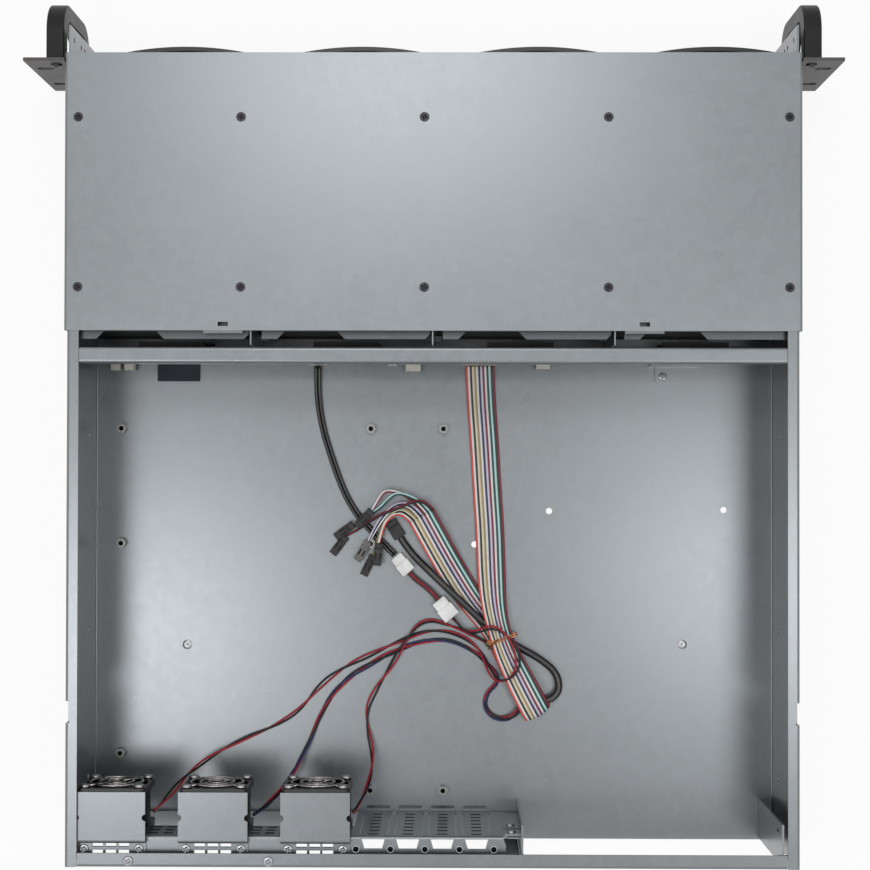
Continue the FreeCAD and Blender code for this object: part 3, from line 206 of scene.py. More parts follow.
def closed_surface(name, grids, materials, picks=None, across=None, sharp=None):
    """One mesh from grids of points, rows along a piece and columns round it.

    Each grid closes from its last column to its first, and a fan of triangles closes each end on
    the middle of its row. picks gives each grid's material, and across its columns' place in U;
    V is the distance along the rows' middles.
    """
    points, quads, fans, quad_pick, fan_pick, quad_uv, fan_uv = [], [], [], [], [], [], []
    start = 0
    for number, grid in enumerate(grids):
        rows, columns = grid.shape[:2]
        middles = grid.mean(axis=1)
        along = distances(middles)
        u = np.linspace(0, 1, columns + 1) if across is None else np.asarray(across)
        points += [grid.reshape(-1, 3), middles[[0, -1]]]
        i, j = (a.reshape(-1, 1) for a in np.mgrid[0:rows - 1, 0:columns])
        row, column = i + (0, 0, 1, 1), j + (0, 1, 1, 0)
        quads.append(start + row * columns + column % columns)
        quad_uv.append(np.stack([u[column], along[row]], axis=-1))
        for row, ends in ((0, (1, 0)), (rows - 1, (0, 1))):
            column = np.arange(columns)[:, None] + ends
            pole = np.full(columns, start + rows * columns + (row > 0))
            fans.append(np.column_stack([pole, start + row * columns + column % columns]))
            u_of = np.column_stack([u[column].mean(axis=1), u[column]])
            fan_uv.append(np.stack([u_of, np.full_like(u_of, along[row])], axis=-1))
        pick = picks[number] if picks else 0
        quad_pick.append(np.full(len(i), pick))
        fan_pick.append(np.full(2 * columns, pick))
        start += rows * columns + 2
    points, quads, fans = (np.concatenate(a) for a in (points, quads, fans))
    mesh = bpy.data.meshes.new(name)
    mesh.from_pydata(points.tolist(), [], quads.tolist() + fans.tolist())
    uv = np.concatenate([np.concatenate(quad_uv).ravel(), np.concatenate(fan_uv).ravel()])
    mesh.uv_layers.new(name="surface").uv.foreach_set("vector", uv.astype(np.float32))
    for material in materials:
        mesh.materials.append(material)
    mesh.polygons.foreach_set("material_index", np.concatenate(quad_pick + fan_pick).astype(np.int32))
    mesh.polygons.foreach_set("use_smooth", np.ones(len(mesh.polygons), bool))
    mesh.update()
    if sharp:
        mesh.set_sharp_from_angle(angle=math.radians(sharp))
    return put_in(name, mesh)


def mounted(piece, stands_for=None):
    """Rides a piece on the chassis, in place of the node it stands for."""
    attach(piece, "chassis")
    if stands_for:
        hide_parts(stands_for)


def route_curve(name, route):
    """A smooth spline whose control points are a cord's route."""
    curve = bpy.data.curves.new(name, "CURVE")
    curve.dimensions = "3D"
    curve.resolution_u = 16
    spline = curve.splines.new("NURBS")
    spline.points.add(len(route) - 1)
    spline.points.foreach_set("co", np.column_stack([route, np.ones(len(route))]).ravel())
    spline.order_u = 3
    spline.use_endpoint_u = True
    return put_in(name, curve)


def spaced_path(route, spacing):
    """Points at an even spacing along a route's spline, and how far along it each one is."""
    guide = route_curve("guide", route)
    curve = guide.data
    line = bpy.data.meshes.new_from_object(guide)
    points = np.empty(len(line.vertices) * 3)
    line.vertices.foreach_get("co", points)
    points = points.reshape(-1, 3)
    bpy.data.objects.remove(guide)
    bpy.data.curves.remove(curve)
    bpy.data.meshes.remove(line)
    gone = distances(points)
    at = np.linspace(0, gone[-1], max(8, round(gone[-1] / spacing)))
    return np.stack([np.interp(at, gone, points[:, a]) for a in range(3)], axis=1), at


def carried_frame(path):
    """Side and upper directions along a path: level at its start, then carried on untwisted."""
    heading = unit(np.gradient(path, axis=0))
    side = np.empty_like(path)
    side[0] = unit(np.cross((0.0, 0.0, 1.0), heading[0]))
    for i in range(1, len(path)):
        level = side[i - 1] - heading[i] * (side[i - 1] @ heading[i])
        side[i] = level / np.linalg.norm(level)
    return side, np.cross(heading, side)


def level_frame(path):
    """Side and upper directions along a path, with the side level all the way."""
    heading = unit(np.gradient(path, axis=0))
    side = unit(np.cross((0.0, 0.0, 1.0), heading))
    return side, np.cross(heading, side)


def wire(path, side, up, radius, across=0.0, above=0.0, columns=12):
    """Round wire: circles in the plane of side and up, with their middles held off the path."""
    side, up = (np.broadcast_to(vector, path.shape) for vector in (side, up))
    across, above = (np.broadcast_to(a, len(path))[:, None] for a in (across, above))
    turn = np.linspace(0, math.tau, columns, endpoint=False)[None, :, None]
    middle = path + across * side + above * up
    return middle[:, None] + radius * (np.cos(turn) * side[:, None] + np.sin(turn) * up[:, None])


def turned_profile(centre, axis, profile, columns=40, dent=None):
    """Profile of (radius, height) pairs turned about an axis through centre.

    dent, if given, is a function of the two coordinates across the axis that lowers each point.
    """
    axis = unit(np.asarray(axis, float))
    first = unit(np.cross(axis, (0.3, 0.9, 0.2) if abs(axis[1]) < 0.8 else (0.9, 0.1, 0.3)))
    second = np.cross(axis, first)
    radius, height = np.asarray(profile, float).T
    turn = np.linspace(0, math.tau, columns, endpoint=False)
    x, y = radius[:, None] * np.cos(turn), radius[:, None] * np.sin(turn)
    level = np.broadcast_to(height[:, None], x.shape)
    if dent is not None:
        level = level - dent(x, y)
    return centre + x[..., None] * first + y[..., None] * second + level[..., None] * axis


def level_heading(heading):
    """Forward, side and up directions of a level heading in degrees."""
    c, s = math.cos(math.radians(heading)), math.sin(math.radians(heading))
    return np.array(((c, s, 0.0), (-s, c, 0.0), (0.0, 0.0, 1.0)))


def housing(centre, heading, stations, corner=8.0, columns=56):
    """Moulded body with its length along a level heading.

    Rows stand at the stations (place along, half width, half height); each row is the curve
    |x / width|^corner + |y / height|^corner = 1.
    """
    forward, side, up = level_heading(heading)
    turn = np.linspace(0, math.tau, columns, endpoint=False)
    x, y = (np.sign(f(turn)) * np.abs(f(turn)) ** (2 / corner) for f in (np.cos, np.sin))
    place, wide, high = np.asarray(stations, float).T
    return (centre + place[:, None, None] * forward
            + (wide[:, None] * x)[..., None] * side + (high[:, None] * y)[..., None] * up)


def box_stations(length, width, height, chamfer=0.0003):
    """Stations of a plain chamfered body."""
    l, w, h, e = length / 2, width / 2, height / 2, chamfer
    return [(-l, w - e, h - e), (-l + e, w, h), (-l + 2 * e, w, h), (l - 2 * e, w, h), (l - e, w, h),
            (l, w - e, h - e)]


# -------- finishes
def shader(tree):
    """The node that a material's colour, gloss and bumps go into."""
    return tree.nodes["Principled BSDF"]


def finish(name, colour, roughness, metallic=0.0, specular=0.5, coat=0.0):
    """A new material and its node tree, with its even values set on the shader."""
    material = bpy.data.materials.new(name)
    material.use_nodes = True
    tree = material.node_tree
    values = {"Base Color": (*colour, 1.0), "Roughness": roughness, "Metallic": metallic,
              "Specular IOR Level": specular, "Coat Weight": coat, "Coat Roughness": 0.25}
    for socket, value in values.items():
        shader(tree).inputs[socket].default_value = value
    return material, tree


def added(tree, kind, links=None, values=None, **settings):
    """A node with its settings, its linked inputs and its constant inputs."""
    made = tree.nodes.new(kind)
    for key, value in settings.items():
        setattr(made, key, value)
    for key, value in (values or {}).items():
        made.inputs[key].default_value = value
    for key, source in (links or {}).items():
        tree.links.new(source, made.inputs[key])
    return made


def math_node(tree, operation, links, values=None):
    """What a Math node makes of its inputs."""
    return added(tree, "ShaderNodeMath", links, values, operation=operation).outputs[0]


def places(tree, stretch=(1.0, 1.0, 1.0)):
    """Object coordinates, stretched along the axes."""
    source = added(tree, "ShaderNodeTexCoord").outputs["Object"]
    mapping = added(tree, "ShaderNodeMapping", {"Vector": source}, {"Scale": stretch})
    return mapping.outputs["Vector"]


def noise(tree, vector, scale, detail=3.0):
    """Soft noise with this many waves to a metre."""
    made = added(tree, "ShaderNodeTexNoise", {"Vector": vector}, {"Scale": scale, "Detail": detail})
    return made.outputs["Fac"]


def weighted(tree, *terms):
    """Sum of sources times weights."""
    total = None
    for source, weight in terms:
        links = {0: source} if total is None else {0: source, 2: total}
        total = math_node(tree, "MULTIPLY_ADD", links, {1: weight, 2: 0.0})
    return total


def spread(tree, source, low, high, from_low=0.0, from_high=1.0):
    """A source stretched from one range to another."""
    made = added(tree, "ShaderNodeMapRange", {"Value": source},
                 {"From Min": from_low, "From Max": from_high, "To Min": low, "To Max": high})
    return made.outputs["Result"]


def scaled(colour, factor):
    """A colour with each part times a factor."""
    return tuple(c * factor for c in colour)


def coloured(tree, source, colour, dark, light):
    """Colours the shader from dark to light times a colour, as a source goes from 0.3 to 0.7."""
    ramp = added(tree, "ShaderNodeValToRGB", {"Fac": source})
    for stop, place, factor in zip(ramp.color_ramp.elements, (0.3, 0.7), (dark, light)):
        stop.position = place
        stop.color = (*scaled(colour, factor), 1.0)
    tree.links.new(ramp.outputs["Color"], shader(tree).inputs["Base Color"])


def roughened(tree, source, low, high):
    """Takes the shader's roughness from low to high with a source."""
    tree.links.new(spread(tree, source, low, high), shader(tree).inputs["Roughness"])


def bumped(tree, source, depth, strength=1.0):
    """Raises the surface by up to a depth where a source is high."""
    made = added(tree, "ShaderNodeBump", {"Height": source}, {"Distance": depth, "Strength": strength})
    tree.links.new(made.outputs["Normal"], shader(tree).inputs["Normal"])


def zinc_sheet(name, colour, roughness, grain, metallic=0.82):
    """Galvanised steel: faint crystal grains, a fine speckle and soft clouds in tone and gloss."""
    material, tree = finish(name, colour, roughness, metallic)
    vector = places(tree)
    voronoi = added(tree, "ShaderNodeTexVoronoi", {"Vector": vector}, {"Scale": 1.0 / grain})
    crystals = voronoi.outputs["Color"]
    speckle = noise(tree, vector, 2400.0, 2.0)
    cloud = noise(tree, vector, 22.0, 4.0)
    coloured(tree, weighted(tree, (crystals, 0.12), (speckle, 0.66), (cloud, 0.20)), colour, 0.90, 1.10)
    roughened(tree, weighted(tree, (crystals, 0.5), (cloud, 0.5)), roughness - 0.03, roughness + 0.03)
    bumped(tree, speckle, 0.00004, 0.5)
    return material


def banded(tree, axis, low, high):
    """One where an object coordinate lies between two values, and nought outside."""
    parts = added(tree, "ShaderNodeSeparateXYZ", {"Vector": places(tree)})
    return math_node(tree, "COMPARE", {0: parts.outputs[axis]},
                     {1: (low + high) / 2, 2: (high - low) / 2})


def recoloured(tree, where, colour):
    """Puts an even colour where a source is one, over what colours the shader now."""
    base = shader(tree).inputs["Base Color"]
    paint = added(tree, "ShaderNodeMix", data_type="RGBA")
    factor, below, above = (paint.inputs[i] for i in (0, 6, 7))
    tree.links.new(where, factor)
    tree.links.new(base.links[0].from_socket, below)
    above.default_value = (*colour, 1.0)
    tree.links.new(paint.outputs[2], base)


def slit_shaded_sheet(name, colour, roughness, grain):
    """Galvanised steel with painted shade: the inner faces of the punched slits in the rear wall are
    near black.
    """
    material = zinc_sheet(name, colour, roughness, grain)
    tree = material.node_tree
    # painted shade: a band through the rear wall's thickness, over the rows of slits, is coloured near
    # black for the shade inside the slits
    wall = banded(tree, "Y", ahead(0.0171), ahead(0.0161))
    slits = banded(tree, "Z", 0.006, 0.0745)
    recoloured(tree, math_node(tree, "MULTIPLY", {0: wall, 1: slits}), (0.016, 0.016, 0.017))
    return material


def powder_coat(name, colour, roughness, texture=1400.0, depth=0.00006, specular=0.5):
    """Baked powder paint: a fine orange-peel texture with a slight change of tone."""
    material, tree = finish(name, colour, roughness, 0.0, specular)
    vector = places(tree)
    peel = noise(tree, vector, texture, 2.0)
    cloud = noise(tree, vector, 60.0)
    coloured(tree, weighted(tree, (peel, 0.6), (cloud, 0.4)), colour, 0.8, 1.2)
    roughened(tree, cloud, roughness - 0.06, roughness + 0.08)
    bumped(tree, peel, depth)
    return material


def clouded(name, colour, roughness, scale, tones, gloss, detail=3.0, texture=None, **more):
    """A material whose tone and gloss change with soft clouds, and may have a fine texture.

    tones are factors of the colour, and gloss is what the roughness loses and gains.
    """
    material, tree = finish(name, colour, roughness, **more)
    vector = places(tree)
    cloud = noise(tree, vector, scale, detail)
    coloured(tree, cloud, colour, *tones)
    roughened(tree, cloud, roughness - gloss[0], roughness + gloss[1])
    if texture:
        bumped(tree, noise(tree, vector, texture, 2.0), 0.00003, 0.6)
    return material


def moulded_plastic(name, colour, roughness, specular=0.5):
    """Injection-moulded plastic: spark-eroded texture with faint flow clouds."""
    return clouded(name, colour, roughness, 90.0, (0.86, 1.14), (0.05, 0.07), texture=3200.0,
                   specular=specular)


def insulation(name, colour):
    """Soft cord insulation: satin, with faint tone changes along it."""
    return clouded(name, colour, 0.34, 260.0, (0.85, 1.12), (0.06, 0.08), specular=0.35)


def turned_metal(name, colour, roughness):
    """Plated screws and studs: fine scratches round them and a change of gloss."""
    return clouded(name, colour, roughness, 1800.0, (0.75, 1.12), (0.08, 0.12), 4.0, metallic=1.0)


def circuit_board(name, colour):
    """Solder mask over tracks: bands of slightly lighter copper under it."""
    material, tree = finish(name, colour, 0.35, coat=0.3)
    tracks = added(tree, "ShaderNodeTexVoronoi", {"Vector": places(tree, (1.0, 1.0, 0.4))},
                   {"Scale": 260.0}, distance="MANHATTAN")
    lines = spread(tree, tracks.outputs["Distance"], 0.0, 1.0, 0.1, 0.6)
    coloured(tree, lines, colour, 1.7, 1.0)
    bumped(tree, lines, 0.00003)
    return material


def ribbon_insulation(name, colours):
    """Flat cable: one even band of colour for each wire, from the piece's own U, with satin gloss."""
    material, tree = finish(name, colours[0], 0.36)
    uv = added(tree, "ShaderNodeUVMap", uv_map="surface").outputs["UV"]
    u = added(tree, "ShaderNodeSeparateXYZ", {"Vector": uv}).outputs["X"]
    ramp = added(tree, "ShaderNodeValToRGB", {"Fac": u})
    ramp.color_ramp.interpolation = "CONSTANT"
    stops = ramp.color_ramp.elements
    stops.remove(stops[1])
    for number, colour in enumerate(colours):
        stop = stops[0] if number == 0 else stops.new(number / len(colours))
        stop.color = (*colour, 1.0)
    cloud = noise(tree, places(tree), 200.0)
    links = {0: ramp.outputs["Color"], "Scale": spread(tree, cloud, 0.86, 1.08)}
    shade = added(tree, "ShaderNodeVectorMath", links, operation="SCALE")
    tree.links.new(shade.outputs["Vector"], shader(tree).inputs["Base Color"])
    roughened(tree, cloud, 0.3, 0.45)
    return material


def dress(names, material):
    """Gives frame nodes one material."""
    for name in names:
        slots = nodes[name].data.materials
        slots.clear()
        slots.append(material)


def colour_wire(colour):
    """The insulation of one colour, made once."""
    name = "insulation_" + "_".join(f"{round(c * 1000):03d}" for c in colour)
    return bpy.data.materials.get(name) or insulation(name, colour)


# -------- sizes and colours to change
def tone(name, description, default):
    """A colour that a user may change."""
    return FloatVectorProperty(name=name, description=description, default=default, subtype="COLOR",
                               size=3, min=0, max=1)


def share(name, description, default, low=0):
    """A share of one that a user may change."""
    return FloatProperty(name=name, description=description, default=default, subtype="FACTOR",
                         min=low, max=1)


def size(name, description, default, low=0.001):
    """A length in metres that a user may change."""
    return FloatProperty(name=name, description=description, default=default, unit="LENGTH", min=low)


class CaseFinishes(PropertyGroup):
    """Colours and gloss of the frame's own parts."""

    zinc_colour: tone("Zinc", "Tone of the galvanised sheet", (0.194, 0.208, 0.219))
    zinc_roughness: share("Zinc roughness", "Roughness of the galvanised sheet", 0.29, 0.05)
    zinc_grain: size("Zinc grain", "Width of a crystal grain", 0.004, 0.0005)
    ear_colour: tone("Ears", "Paint of the rack ears", (0.062, 0.055, 0.054))
    handle_colour: tone("Handles", "Paint of the pull handles", (0.011, 0.010, 0.010))
    plastic_colour: tone("Black plastic", "Trays, levers, fans and strip", (0.010, 0.010, 0.011))
    board_colour: tone("Board", "Solder mask of the backplane", (0.010, 0.045, 0.022))
    screw_colour: tone("Screws", "Plating of the bright screws", (0.33, 0.34, 0.355))


class ScrewSizes(PropertyGroup):
    """Sizes of the screws' heads."""

    pan_radius: size("Pan head", "Radius of the rail's and guards' screw heads", 0.0030)
    small_radius: size("Small head", "Radius of the bracket screws' heads", 0.0029)
    dome_radius: size("Dome head", "Radius of the flange screws' heads", 0.0026)
    handle_radius: size("Handle head", "Radius of the screws behind the handles", 0.0034)
    head_height: size("Head height", "Height of a pan head", 0.0012, 0.0003)


class CordSizes(PropertyGroup):
    """Sizes of the cords and their wires."""

    ribbon_width: size("Ribbon width", "Width of the flat cable", 0.0182, 0.005)
    ribbon_thickness: size("Ribbon thickness", "Thickness of the flat cable", 0.0013, 0.0003)
    port_diameter: size("Port cable", "Diameter of the port cable's sheath", 0.0045)
    power_diameter: size("Power cable", "Width of the two-core power cable", 0.0044)
    lead_diameter: size("Fan lead", "Width of a fan's bundle of wires", 0.0026)
    link_width: size("Link lead", "Width of the link between the two white connectors", 0.0039)
    panel_lead_diameter: size("Panel lead", "Width of a two-wire panel lead", 0.0022)
    twist: size("Twist", "Length of one turn of a lead's wires", 0.062, 0.005)


class StudioSettings(PropertyGroup):
    """Camera, lamps and floor."""

    camera_place: FloatVectorProperty(
        name="Camera", description="Place of the camera above the case", subtype="TRANSLATION",
        size=3, default=(-0.01126, 0.01595, 1.15366), unit="LENGTH")
    camera_turn: FloatVectorProperty(
        name="Camera turn", description="Looks down, with the rear of the case at the bottom",
        subtype="EULER", size=3, default=(0.01295, 0.00913, math.pi + 0.00205), unit="ROTATION")
    camera_view: FloatProperty(
        name="View angle", description="Angle of view across the picture", default=0.4690,
        subtype="ANGLE", unit="ROTATION")
    lamp_power: FloatProperty(
        name="Lamps", description="Power that the softboxes' shares are of", default=2.6, min=0,
        unit="POWER")
    floor_tone: share("Floor", "Brightness of the floor's colour", 0.9)
    fill: share("Fill", "Brightness of the white room round the case", 0.60)


# -------- the frame's own parts
class CASE_OT_sheet_metal(Operator):
    """Gives the galvanised sheets their zinc finish"""

    bl_idname = "case.sheet_metal"
    bl_label = "Finish sheet metal"

    # the lip's end, turned in beside the power supply
    LIP_END = (-0.0481, ahead(0.0044), 0.0402)
    LIP_END_SIZE = (0.0084, 0.0007, 0.075)

    def execute(self, context):
        settings = context.scene.case_finishes
        zinc, rough, grain = settings.zinc_colour, settings.zinc_roughness, settings.zinc_grain
        dress(SHEET_NODES, zinc_sheet("zinc_sheet", zinc, rough, grain))
        dress(["front_cover"], zinc_sheet("zinc_cover", scaled(zinc, 1.04), rough + 0.04, grain))
        dress(["rear_panel"], slit_shaded_sheet("zinc_pierced_slit_shade", zinc, rough, grain))
        # painted shade: the cage shelves get half the zinc's tone, for the shade under the cover
        dress(["cage_shelves"], zinc_sheet("zinc_shelf_painted_shade", scaled(zinc, 0.5), rough, grain))
        dress([f"fan_bracket_{i}" for i in FANS],
              zinc_sheet("zinc_bracket", scaled(zinc, 0.92), rough, grain))
        grid = housing(self.LIP_END, 0, box_stations(*self.LIP_END_SIZE, 0.0001))
        dull = zinc_sheet("zinc_end", scaled(zinc, 1.5), 0.6, grain, 0.3)
        mounted(closed_surface("lip_end", [grid], [dull], sharp=30))
        return {"FINISHED"}


class CASE_OT_drive_cage(Operator):
    """Finishes the trays, their levers, the control strip and its buttons"""

    bl_idname = "case.drive_cage"
    bl_label = "Finish trays and strip"

    def execute(self, context):
        colour = context.scene.case_finishes.plastic_colour
        for names, material, shade, rough in (
                ([n for n in nodes if n.startswith("tray_")], "tray_plastic", 1.0, 0.5),
                ([n for n in nodes if n.startswith("lever_")], "lever_plastic", 0.8, 0.36),
                (["control_strip"], "strip_plastic", 1.2, 0.5),
                (["power_button", "reset_button"], "button_plastic", 6.0, 0.25)):
            dress(names, moulded_plastic(material, scaled(colour, shade), rough))
        return {"FINISHED"}


class CASE_OT_ears(Operator):
    """Paints the rack ears and the pull handles"""

    bl_idname = "case.ears"
    bl_label = "Paint ears and handles"

    def execute(self, context):
        settings = context.scene.case_finishes
        dress(["ear_left", "ear_right"], powder_coat("ear_paint", settings.ear_colour, 0.5))
        dress(["handle_left", "handle_right"],
              powder_coat("handle_paint", settings.handle_colour, 0.38, 2200.0, 0.00002, 0.22))
        return {"FINISHED"}


class CASE_OT_backplane(Operator):
    """Finishes the backplane, its sockets and the pad on the floor"""

    bl_idname = "case.backplane"
    bl_label = "Finish backplane"

    def execute(self, context):
        dress(["backplane"], circuit_board("solder_mask", context.scene.case_finishes.board_colour))
        sockets = moulded_plastic("socket_plastic", (0.55, 0.53, 0.47), 0.45)
        # painted shade: the sockets' front, seen past the cage cover, is coloured near black for the
        # shade under it
        painted_shade_front = banded(sockets.node_tree, "Y", ahead(0.316), ahead(0.3056))
        recoloured(sockets.node_tree, painted_shade_front, (0.012, 0.012, 0.013))
        dress(["backplane_sockets"], sockets)
        dress(["floor_pad"], moulded_plastic("pad_foam", (0.036, 0.040, 0.050), 0.8, 0.2))
        return {"FINISHED"}


class CASE_OT_standoffs(Operator):
    """Finishes the stand-offs under the board"""

    bl_idname = "case.standoffs"
    bl_label = "Finish stand-offs"

    def execute(self, context):
        dress(["standoffs"], turned_metal("plated_stud", (0.22, 0.225, 0.22), 0.3))
        return {"FINISHED"}


# -------- fans and their guards
def ring_wire(centre, radius, thickness, columns=10, rows=56):
    """Closed ring about Y, as rows of small circles; the last row meets the first."""
    turn = np.linspace(0, math.tau, rows)[:, None]
    small = np.linspace(0, math.tau, columns, endpoint=False)[None, :]
    reach = radius + thickness * np.cos(small)
    x = centre[0] + reach * np.cos(turn)
    y = np.broadcast_to(centre[1] + thickness * np.sin(small), x.shape)
    z = centre[2] + reach * np.sin(turn)
    return np.stack([x, y, z], axis=-1)


def straight_wire(start, end, thickness, columns=10):
    """Round wire between two points of a plane square to Y."""
    path = np.linspace(start, end, 4)
    heading = unit(end - start)
    side = unit(np.cross(heading, (0.0, 1.0, 0.0)))
    return wire(path, side, np.cross(heading, side), thickness, columns=columns)


class CASE_OT_fans(Operator):
    """Finishes the fans and bends their finger guards from round wire"""

    bl_idname = "case.fans"
    bl_label = "Finish fans and guards"

    RINGS = (0.0155, 0.0100, 0.0046)
    EYE_RADIUS = 0.0025

    def guard(self, centre, thickness):
        """Three rings, four spokes and an eye at each corner, all one wire thick."""
        middle = np.array((centre.x, (GUARD_FACE + GUARD_BACK) / 2, centre.z))
        grids = [ring_wire(middle, radius, thickness) for radius in self.RINGS]
        for turn in range(4):
            angle = math.radians(45 + 90 * turn)
            away = np.array((math.cos(angle), 0.0, math.sin(angle)))
            eye = middle + away * GUARD_EYE * math.sqrt(2)
            grids.append(ring_wire(eye, self.EYE_RADIUS, thickness, rows=28))
            grids.append(straight_wire(middle + away * self.RINGS[2], eye - away * self.EYE_RADIUS,
                                       thickness))
        return grids

    def execute(self, context):
        colour = scaled(context.scene.case_finishes.plastic_colour, 0.7)
        dress([f"fan_{part}_{i}" for part in ("frame", "rotor") for i in FANS],
              moulded_plastic("fan_plastic", colour, 0.4))
        chrome = turned_metal("guard_chrome", (0.34, 0.32, 0.315), 0.2)
        thickness = (GUARD_BACK - GUARD_FACE) / 2 * 0.98
        grids = [grid for centre in FAN_CENTRES for grid in self.guard(centre, thickness)]
        mounted(closed_surface("finger_guards", grids, [chrome]), "fan_guards")
        return {"FINISHED"}


# -------- screws and rivets
def cross_recess(radius, depth):
    """Depth of a cross recess: two crossed slots that taper to nothing at their ends."""
    half_width, half_length, edge = 0.15 * radius, 0.60 * radius, 0.10 * radius

    def slot(a, b):
        inside = np.clip((half_width - np.abs(a)) / edge + 0.5, 0, 1)
        return inside * np.clip((half_length - np.abs(b)) / (3 * edge), 0, 1)
    return lambda x, y: depth * np.maximum(slot(x, y), slot(y, x))


# how far a head's or rivet's foot reaches into the sheet under it
SUNK = 0.0002


def pan_head(centre, axis, radius, height):
    """Pan head: a steep rounded side, a nearly flat crown, and a cross recess in it."""
    turn = np.radians(np.linspace(0, 90, 7))
    side = np.column_stack([radius * (0.82 + 0.18 * np.cos(turn)), height * 0.8 * np.sin(turn)])
    inner = np.linspace(0.80, 0.02, 18)
    crown = np.column_stack([radius * inner, height * (1.0 - 0.2 * (inner / 0.82) ** 2)])
    profile = np.concatenate([[(radius, -SUNK)], side, crown])
    return turned_profile(centre, axis, profile, 44, cross_recess(radius, height * 0.75))


def flat_head(centre, axis, radius, depth):
    """Countersunk head just below its rim, with a cross recess."""
    inner = np.linspace(0.94, 0.02, 20)
    face = np.column_stack([radius * inner, np.full(20, 0.0)])
    profile = np.concatenate([[(radius * 0.55, -depth), (radius, -0.0001)], face])
    return turned_profile(centre, axis, profile, 44, cross_recess(radius, depth * 0.8))


def rivet(centre, axis, radius, height):
    """Low domed rivet with a small dimple at its middle."""
    inner = np.linspace(1.0, 0.02, 14)
    dome, dimple = np.sqrt(1.0 - 0.96 * inner ** 2), 0.5 * np.exp(-(inner / 0.25) ** 2)
    crown = np.column_stack([radius * inner, height * dome - height * dimple])
    return turned_profile(centre, axis, np.concatenate([[(radius, -SUNK)], crown]), 32)


def collar(centre, axis, inner, outer, height):
    """Bright ring pressed up round a threaded hole; its profile is a low half circle."""
    turn = np.linspace(0, math.pi, 8)
    middle, half = (inner + outer) / 2, (outer - inner) / 2
    ring = np.column_stack([middle + half * np.cos(turn), height * np.sin(turn)])
    profile = np.concatenate([ring, [(inner, -0.0001), (outer, -0.0001)]])
    rows = turned_profile(centre, axis, profile[::-1], 32).swapaxes(0, 1)
    return np.concatenate([rows, rows[:1]])


def thread_cup(centre, axis, radius, depth):
    """Blind threaded hole: a cup whose bore has a ridge for each turn of the thread."""
    pitch, ridge = 0.0005, 0.0002
    turns = np.arange(0.0003, depth - 0.0004, pitch / 2)
    bore = np.column_stack([radius - np.where(np.arange(len(turns)) % 2, ridge, ridge / 4), -turns])
    floor = [(radius - ridge, -depth + 0.0003), (0.00002, -depth + 0.0003)]
    profile = np.concatenate([[(radius, -depth), (radius, -0.0001)], bore, floor])
    return turned_profile(centre, axis, profile, 28)


